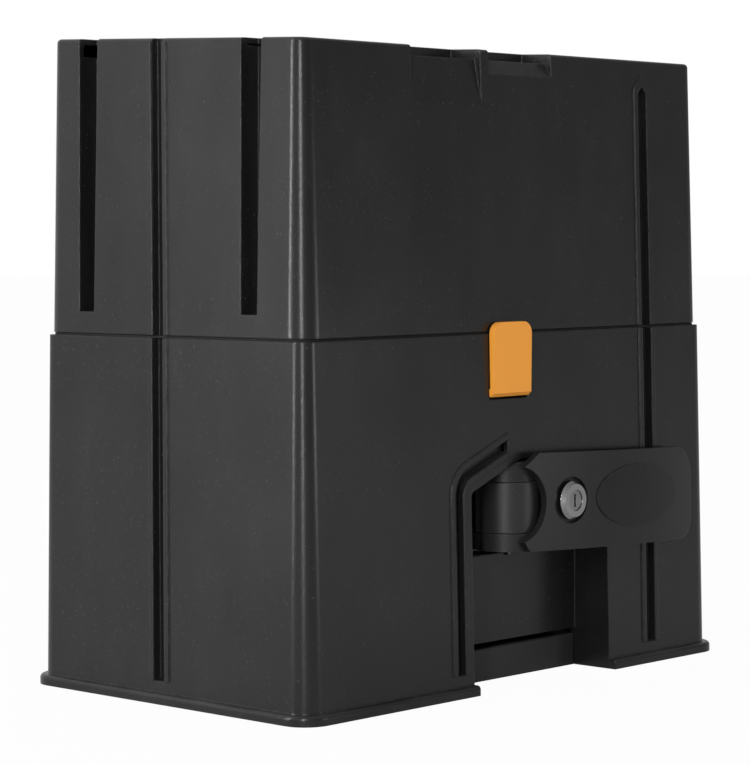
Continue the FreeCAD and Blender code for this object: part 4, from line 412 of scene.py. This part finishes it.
# ---------------------------------------------------------------- sizes and colours

class CasingLook(PropertyGroup):
    """Colours, roughness and edge softness of the black casing."""
    housing_colour: FloatVectorProperty(
        name="Housing colour", description="Plastic of the lower part", subtype="COLOR",
        size=3, default=(0.0075, 0.0075, 0.008), min=0.0, max=1.0)
    cover_colour: FloatVectorProperty(
        name="Cover colour", description="Plastic of the lift-off cover", subtype="COLOR",
        size=3, default=(0.0085, 0.0085, 0.009), min=0.0, max=1.0)
    gloss: FloatProperty(
        name="Roughness", description="Roughness of the moulded face", default=0.24, min=0.05,
        max=1.0, subtype="FACTOR")
    edge: FloatProperty(
        name="Edge softness", description="Radius of the moulded edges", default=0.0011,
        min=0.0, max=0.01, unit="LENGTH")


class LeverLook(PropertyGroup):
    """Colours of the release lever and its lock."""
    lever_colour: FloatVectorProperty(
        name="Lever colour", description="Plastic of the lever", subtype="COLOR", size=3,
        default=(0.009, 0.009, 0.0093), min=0.0, max=1.0)
    clip_colour: FloatVectorProperty(
        name="Clip colour", description="Plastic of the cover clip", subtype="COLOR", size=3,
        default=(0.98, 0.385, 0.045), min=0.0, max=1.0)
    chrome_colour: FloatVectorProperty(
        name="Lock colour", description="Plating of the cam lock", subtype="COLOR", size=3,
        default=(0.36, 0.36, 0.36), min=0.0, max=1.0)


class StudioLook(PropertyGroup):
    """Strengths of the lamps and the surroundings."""
    front_lamp: FloatProperty(
        name="Front strip", description="Power of the strip lamp at the front left",
        default=20.0, min=0.0, unit="POWER")
    side_lamp: FloatProperty(
        name="Side strip", description="Power of the strip lamp at the left end",
        default=20.0, min=0.0, unit="POWER")
    low_lamp: FloatProperty(
        name="Low lamp", description="Power of the small lamp low in front", default=2.4,
        min=0.0, unit="POWER")
    surround: FloatProperty(
        name="Surroundings", description="Level of the sky that lights the part", default=0.84,
        min=0.0, max=3.0)
    lens: FloatProperty(
        name="Lens", description="Focal length of the main view", default=125.99, min=10.0,
        max=400.0, unit="CAMERA")


# ---------------------------------------------------------------- pieces

class GATE_OT_casing(Operator):
    """Dress the housing, the cover and the joint between them"""
    bl_idname = "gate_motor.casing"
    bl_label = "Casing"

    def execute(self, context):
        look = context.scene.gate_casing
        common = {"roughness": look.gloss, "edge": look.edge, "wear_and_highlight": 0.3, "dust": 0.1}
        dress(plastic("housing_black", look.housing_colour, [c * 1.5 for c in look.housing_colour],
                      (0.09, 0.09, 0.09), **common), "lower_housing")
        dress(plastic("cover_black", look.cover_colour, [c * 1.5 for c in look.cover_colour],
                      (0.1, 0.1, 0.1), **common), "top_cover")
        dress(plastic("seal_rubber", (0.006, 0.006, 0.006), (0.01, 0.01, 0.01),
                      (0.03, 0.03, 0.03), 0.75, grain=900.0, wear_and_highlight=0.1), "cover_seal")
        return {"FINISHED"}


class GATE_OT_clip(Operator):
    """Dress the orange clip and its hinge pin"""
    bl_idname = "gate_motor.clip"
    bl_label = "Cover clip"

    def execute(self, context):
        colour = context.scene.gate_lever.clip_colour
        dress(plastic("clip_orange", colour, [c * 1.06 for c in colour], (0.95, 0.5, 0.2), 0.38,
                      grain=1800.0, depth=0.00002, edge=0.0007, wear_and_highlight=0.3, dust=0.03, specks=0.02),
              "cover_clip")
        dress(steel("clip_pin_steel", (0.55, 0.55, 0.54), (0.35, 0.34, 0.33), 0.3,
                    (1.0, 20.0, 20.0)), "clip_pin")
        return {"FINISHED"}


class GATE_OT_lever(Operator):
    """Dress the release lever, its bare oval plate and its hub"""
    bl_idname = "gate_motor.lever"
    bl_label = "Release lever"

    def execute(self, context):
        colour = context.scene.gate_lever.lever_colour
        dress(plastic("lever_grey", colour, [c * 1.4 for c in colour], (0.2, 0.2, 0.2), 0.36,
                      edge=0.0008, wear_and_highlight=0.35, dust=0.05, shine=0.28), "release_lever")
        dress(plastic("badge_grey", [c * 1.15 for c in colour], [c * 1.5 for c in colour],
                      (0.22, 0.22, 0.22), 0.3, grain=2200.0, depth=0.00001, edge=0.0005,
                      wear_and_highlight=0.5, dust=0.03, specks=0.05, shine=0.2), "badge_plate")
        dress(plastic("hub_black", (0.014, 0.014, 0.014), (0.022, 0.022, 0.022),
                      (0.14, 0.14, 0.14), 0.4, shine=0.4), "release_hub")
        return {"FINISHED"}


class GATE_OT_lock(Operator):
    """Dress the cam lock in the lever"""
    bl_idname = "gate_motor.lock"
    bl_label = "Cam lock"

    def execute(self, context):
        colour = context.scene.gate_lever.chrome_colour
        dress(steel("lock_chrome", colour, [c * 0.8 for c in colour], 0.12, (30.0, 1.0, 30.0),
                    depth=0.000002), "camlock_barrel")
        dress(steel("lock_plug_chrome", [c * 0.85 for c in colour], [c * 0.6 for c in colour],
                    0.22, (30.0, 1.0, 30.0), depth=0.000004), "camlock_plug")
        dress(steel("lock_zinc", (0.6, 0.6, 0.57), (0.5, 0.46, 0.36), 0.35), "camlock_nut",
              "camlock_cam", "camlock_screw", "lever_screws", "lock_keeper")
        return {"FINISHED"}


class GATE_OT_release(Operator):
    """Dress the knuckles, spindle, plunger, pin and spring of the release"""
    bl_idname = "gate_motor.release"
    bl_label = "Release gear"

    def execute(self, context):
        dress(casting("bracket_black", (0.014, 0.014, 0.0145), (0.02, 0.02, 0.02), 0.42,
                      metallic=0.0, edge=0.0006), "release_bracket")
        dress(steel("spindle_black", (0.03, 0.03, 0.03), (0.05, 0.048, 0.045), 0.4,
                    (8.0, 8.0, 1.0)), "release_spindle")
        dress(steel("pin_steel", (0.55, 0.55, 0.55), (0.4, 0.39, 0.38), 0.25, (8.0, 8.0, 1.0)),
              "drive_pin", "pinion_key", "board_standoffs")
        dress(steel("plunger_steel", (0.5, 0.5, 0.51), (0.35, 0.33, 0.3), 0.22,
                    (20.0, 1.0, 20.0)), "release_plunger", "plunger_spring")
        return {"FINISHED"}


class GATE_OT_drive(Operator):
    """Dress the shaft line, the gears and their bearings"""
    bl_idname = "gate_motor.drive"
    bl_label = "Shaft and gears"

    def execute(self, context):
        dress(steel("shaft_steel", (0.48, 0.48, 0.49), (0.3, 0.29, 0.28), 0.28,
                    (1.0, 26.0, 1.0)), "output_shaft", "shaft_spacer", "worm_shaft")
        dress(steel("pinion_steel", (0.42, 0.42, 0.42), (0.28, 0.26, 0.23), 0.36,
                    (18.0, 1.0, 18.0), depth=0.00002), "output_pinion")
        dress(steel("bearing_steel", (0.66, 0.66, 0.67), (0.5, 0.5, 0.5), 0.16,
                    (22.0, 1.0, 22.0)), "front_bearing", "rear_bearing", "worm_bearing_low",
              "worm_bearing_high", "circlip")
        dress(steel("wheel_bronze", (0.58, 0.34, 0.12), (0.4, 0.22, 0.08), 0.34,
                    (16.0, 1.0, 16.0)), "worm_wheel")
        dress(plastic("seal_black", (0.008, 0.008, 0.008), (0.014, 0.014, 0.014),
                      (0.04, 0.04, 0.04), 0.7, grain=1000.0), "oil_seal", "casing_gasket",
              "cable_gland")
        return {"FINISHED"}


class GATE_OT_gearbox(Operator):
    """Dress the gearbox casing, its lid and its fasteners"""
    bl_idname = "gate_motor.gearbox"
    bl_label = "Gearbox"

    def execute(self, context):
        dress(casting("cast_aluminium", (0.52, 0.52, 0.53), (0.4, 0.4, 0.4), 0.45),
              "gearbox_casing", "gearbox_lid", "motor_cap")
        dress(steel("fastener_zinc", (0.62, 0.62, 0.58), (0.5, 0.46, 0.36), 0.34),
              "lid_screws", "casing_bolts", "housing_screws")
        dress(steel("plug_brass", (0.72, 0.5, 0.2), (0.5, 0.33, 0.13), 0.3), "drain_plug")
        return {"FINISHED"}


class GATE_OT_motor(Operator):
    """Dress the motor's can, magnets and armature"""
    bl_idname = "gate_motor.motor"
    bl_label = "Motor"

    def execute(self, context):
        dress(casting("motor_paint", (0.02, 0.02, 0.022), (0.028, 0.028, 0.03), 0.32,
                      pebble=1600.0, depth=0.00005, metallic=0.0), "motor_can")
        dress(casting("magnet_ferrite", (0.05, 0.05, 0.052), (0.07, 0.068, 0.066), 0.7,
                      pebble=1200.0, metallic=0.0), "motor_magnets")
        dress(steel("armature_iron", (0.32, 0.3, 0.28), (0.24, 0.2, 0.17), 0.4,
                    (1.0, 1.0, 40.0), depth=0.00004), "motor_armature")
        return {"FINISHED"}


class GATE_OT_base(Operator):
    """Dress the base casting"""
    bl_idname = "gate_motor.base"
    bl_label = "Base"

    def execute(self, context):
        dress(casting("base_grey", (0.016, 0.016, 0.0165), (0.024, 0.024, 0.024), 0.5,
                      metallic=0.0), "base_casting")
        return {"FINISHED"}


class GATE_OT_equipment(Operator):
    """Dress the tray, battery, board and charger under the cover"""
    bl_idname = "gate_motor.equipment"
    bl_label = "Equipment"

    def execute(self, context):
        dress(plastic("tray_grey", (0.035, 0.035, 0.036), (0.05, 0.05, 0.05),
                      (0.14, 0.14, 0.14), 0.5), "equipment_tray")
        dress(plastic("battery_grey", (0.06, 0.064, 0.07), (0.08, 0.084, 0.09),
                      (0.2, 0.2, 0.2), 0.4, grain=1100.0), "battery")
        dress(steel("terminal_lead", (0.42, 0.42, 0.42), (0.3, 0.3, 0.3), 0.5),
              "battery_terminals")
        dress(webbing("strap_webbing", (0.012, 0.012, 0.013), (0.05, 0.05, 0.052)),
              "battery_strap")
        dress(steel("bracket_zinc", (0.5, 0.5, 0.48), (0.42, 0.39, 0.32), 0.42,
                    (1.0, 1.0, 14.0)), "controller_bracket")
        dress(plastic("board_lacquer", (0.006, 0.09, 0.035), (0.01, 0.13, 0.05),
                      (0.2, 0.24, 0.12), 0.22, grain=2600.0, depth=0.00002, specks=0.5),
              "controller_board")
        dress(plastic("block_green", (0.02, 0.22, 0.08), (0.03, 0.27, 0.1),
                      (0.2, 0.4, 0.25), 0.35), "terminal_blocks")
        dress(plastic("relay_blue", (0.012, 0.05, 0.22), (0.02, 0.065, 0.27),
                      (0.1, 0.15, 0.4), 0.3), "board_relays")
        dress(steel("sink_aluminium", (0.6, 0.6, 0.6), (0.5, 0.5, 0.5), 0.36,
                    (14.0, 14.0, 1.0)), "board_heatsink")
        dress(steel("charger_zinc", (0.56, 0.57, 0.57), (0.46, 0.47, 0.48), 0.38,
                    (3.0, 12.0, 3.0), depth=0.00003), "charger_unit")
        return {"FINISHED"}


# ---------------------------------------------------------------- stage

def area_lamp(name, place, target, width, height, power):
    """Hang a rectangular lamp that shines at a point."""
    lamp = bpy.data.lights.new(name, "AREA")
    lamp.shape = "RECTANGLE"
    lamp.size = width
    lamp.size_y = height
    lamp.energy = power
    holder = bpy.data.objects.new(name, lamp)
    holder.location = place
    aim = (Vector(target) - Vector(place)).to_track_quat("-Z", "Y")
    holder.rotation_euler = aim.to_euler()
    bpy.context.collection.objects.link(holder)


def surroundings(level):
    """White behind the part; a soft sky, brighter at the left and back, lights it.

    Gloss and clear parts mirror a paler, even sky, so dark plastic stays dark.
    """
    world = bpy.data.worlds.new("studio")
    bpy.context.scene.world = world
    world.use_nodes = True
    sheet = Sheet(world.node_tree)
    world.node_tree.nodes.clear()
    ray = sheet.add("ShaderNodeLightPath")
    split = sheet.add("ShaderNodeSeparateXYZ")
    sheet.join(sheet.add("ShaderNodeTexCoord").outputs["Generated"], split.inputs[0])
    back = sheet.math("SUBTRACT", split.outputs["Y"], split.outputs["X"])
    slope = sheet.span(back, -0.9, 1.1, 0.25, 1.25)
    lift = sheet.span(split.outputs["Z"], -0.3, 0.9, 0.75, 1.35)
    sky = sheet.math("MULTIPLY", sheet.math("MULTIPLY", slope, lift), level)
    mirrored = sheet.math("MAXIMUM", ray.outputs["Is Glossy Ray"],
                          ray.outputs["Is Transmission Ray"])
    pale = sheet.span(back, -0.9, 1.0, 0.3, 0.85)
    soft = sheet.add("ShaderNodeBackground")
    sheet.feed(soft.inputs["Color"], WHITE)
    sheet.join(sheet.mix_numbers(mirrored, sky, pale), soft.inputs["Strength"])
    white = sheet.add("ShaderNodeBackground")
    sheet.feed(white.inputs["Color"], WHITE)
    either = sheet.add("ShaderNodeMixShader")
    sheet.join(ray.outputs["Is Camera Ray"], either.inputs[0])
    sheet.join(soft.outputs[0], either.inputs[1])
    sheet.join(white.outputs[0], either.inputs[2])
    sheet.join(either.outputs[0], sheet.add("ShaderNodeOutputWorld").inputs["Surface"])


def pale_floor():
    """Lay the floor: nearly white to the view, dull in reflections."""
    mesh = bpy.data.meshes.new("studio_floor")
    corners = [(x * FLOOR_REACH, y * FLOOR_REACH, -FLOOR_DROP)
               for x, y in ((-1, -1), (1, -1), (1, 1), (-1, 1))]
    mesh.from_pydata(corners, [], [(0, 1, 2, 3)])
    floor = bpy.data.objects.new("studio_floor", mesh)
    bpy.context.collection.objects.link(floor)
    finish = Finish("floor_paper")
    sheet = finish.sheet
    cloud = sheet.noise(finish.place, scale=3.0, detail=3.0, rough=0.5)
    finish.set("Base Color", sheet.blend(cloud, (0.5, 0.5, 0.5, 1), (0.54, 0.54, 0.54, 1)))
    finish.set("Roughness", FLOOR_ROUGHNESS)
    ray = sheet.add("ShaderNodeLightPath")
    glow = sheet.add("ShaderNodeEmission")
    either = sheet.add("ShaderNodeMixShader")
    out = finish.material.node_tree.nodes["Material Output"]
    mirrored = sheet.math("MULTIPLY", ray.outputs["Is Glossy Ray"], FLOOR_MIRRORED)
    direct = sheet.math("MULTIPLY", ray.outputs["Is Camera Ray"], FLOOR_SEEN)
    sheet.join(sheet.math("MAXIMUM", mirrored, direct), either.inputs[0])
    sheet.join(finish.surface.outputs[0], either.inputs[1])
    sheet.join(glow.outputs[0], either.inputs[2])
    sheet.join(either.outputs[0], out.inputs["Surface"])
    mesh.materials.append(finish.material)


def main_camera(lens):
    """The main view: three-quarter from the front left, a little above the middle."""
    look = Vector((math.sin(CAMERA_YAW) * math.cos(CAMERA_PITCH),
                   math.cos(CAMERA_YAW) * math.cos(CAMERA_PITCH), -math.sin(CAMERA_PITCH)))
    side = Vector((math.cos(CAMERA_YAW), -math.sin(CAMERA_YAW), 0.0))
    rise = side.cross(look)
    right = side * math.cos(CAMERA_ROLL) + rise * math.sin(CAMERA_ROLL)
    up = rise * math.cos(CAMERA_ROLL) - side * math.sin(CAMERA_ROLL)
    camera = bpy.data.cameras.new("main_view")
    camera.lens = lens
    camera.sensor_width = SENSOR_WIDTH
    camera.clip_start, camera.clip_end = CAMERA_CLIP
    holder = bpy.data.objects.new("main_view", camera)
    turn = Matrix((right, up, -look)).transposed().to_4x4()
    holder.matrix_world = Matrix.Translation(CAMERA_PLACE) @ turn
    bpy.context.collection.objects.link(holder)
    bpy.context.scene.camera = holder


class GATE_OT_stage(Operator):
    """Set the floor, the lamps, the surroundings and the main view"""
    bl_idname = "gate_motor.stage"
    bl_label = "Stage"

    def execute(self, context):
        look = context.scene.gate_studio
        context.scene.view_settings.view_transform = "Standard"
        pale_floor()
        surroundings(look.surround)
        area_lamp("front_strip", FRONT_STRIP_PLACE, LAMP_AIM, STRIP_WIDTH, STRIP_HEIGHT,
                  look.front_lamp)
        area_lamp("side_strip", SIDE_STRIP_PLACE, LAMP_AIM, STRIP_WIDTH, STRIP_HEIGHT,
                  look.side_lamp)
        area_lamp("low_lamp", LOW_LAMP_PLACE, LOW_LAMP_AIM, LOW_LAMP_SIDE, LOW_LAMP_SIDE,
                  look.low_lamp)
        main_camera(look.lens)
        return {"FINISHED"}


class GATE_PT_panel(Panel):
    """Buttons for each group of pieces"""
    bl_idname = "GATE_PT_panel"
    bl_label = "Gate motor"
    bl_space_type = "VIEW_3D"
    bl_region_type = "UI"
    bl_category = "Gate motor"

    def draw(self, context):
        for operator in OPERATORS:
            self.layout.operator(operator.bl_idname)
        for group in ("gate_casing", "gate_lever", "gate_studio"):
            settings = getattr(context.scene, group)
            for name in settings.bl_rna.properties.keys():
                if name not in ("rna_type", "name"):
                    self.layout.prop(settings, name)


LOOKS = (("gate_casing", CasingLook), ("gate_lever", LeverLook), ("gate_studio", StudioLook))
OPERATORS = (GATE_OT_casing, GATE_OT_clip, GATE_OT_lever, GATE_OT_lock, GATE_OT_release,
             GATE_OT_drive, GATE_OT_gearbox, GATE_OT_motor, GATE_OT_base, GATE_OT_equipment,
             GATE_OT_stage)


def register():
    """Register the settings, the operators and the panel."""
    for name, look in LOOKS:
        bpy.utils.register_class(look)
        setattr(bpy.types.Scene, name, PointerProperty(type=look))
    for operator in OPERATORS:
        bpy.utils.register_class(operator)
    bpy.utils.register_class(GATE_PT_panel)


def unregister():
    """Take away what register added."""
    bpy.utils.unregister_class(GATE_PT_panel)
    for operator in reversed(OPERATORS):
        bpy.utils.unregister_class(operator)
    for name, look in reversed(LOOKS):
        delattr(bpy.types.Scene, name)
        bpy.utils.unregister_class(look)


def main():
    """Run each group's operator in order."""
    register()
    make_effects()
    for operator in OPERATORS:
        getattr(bpy.ops.gate_motor, operator.bl_idname.split(".")[1])()


if __name__ == "__main__":
    main()
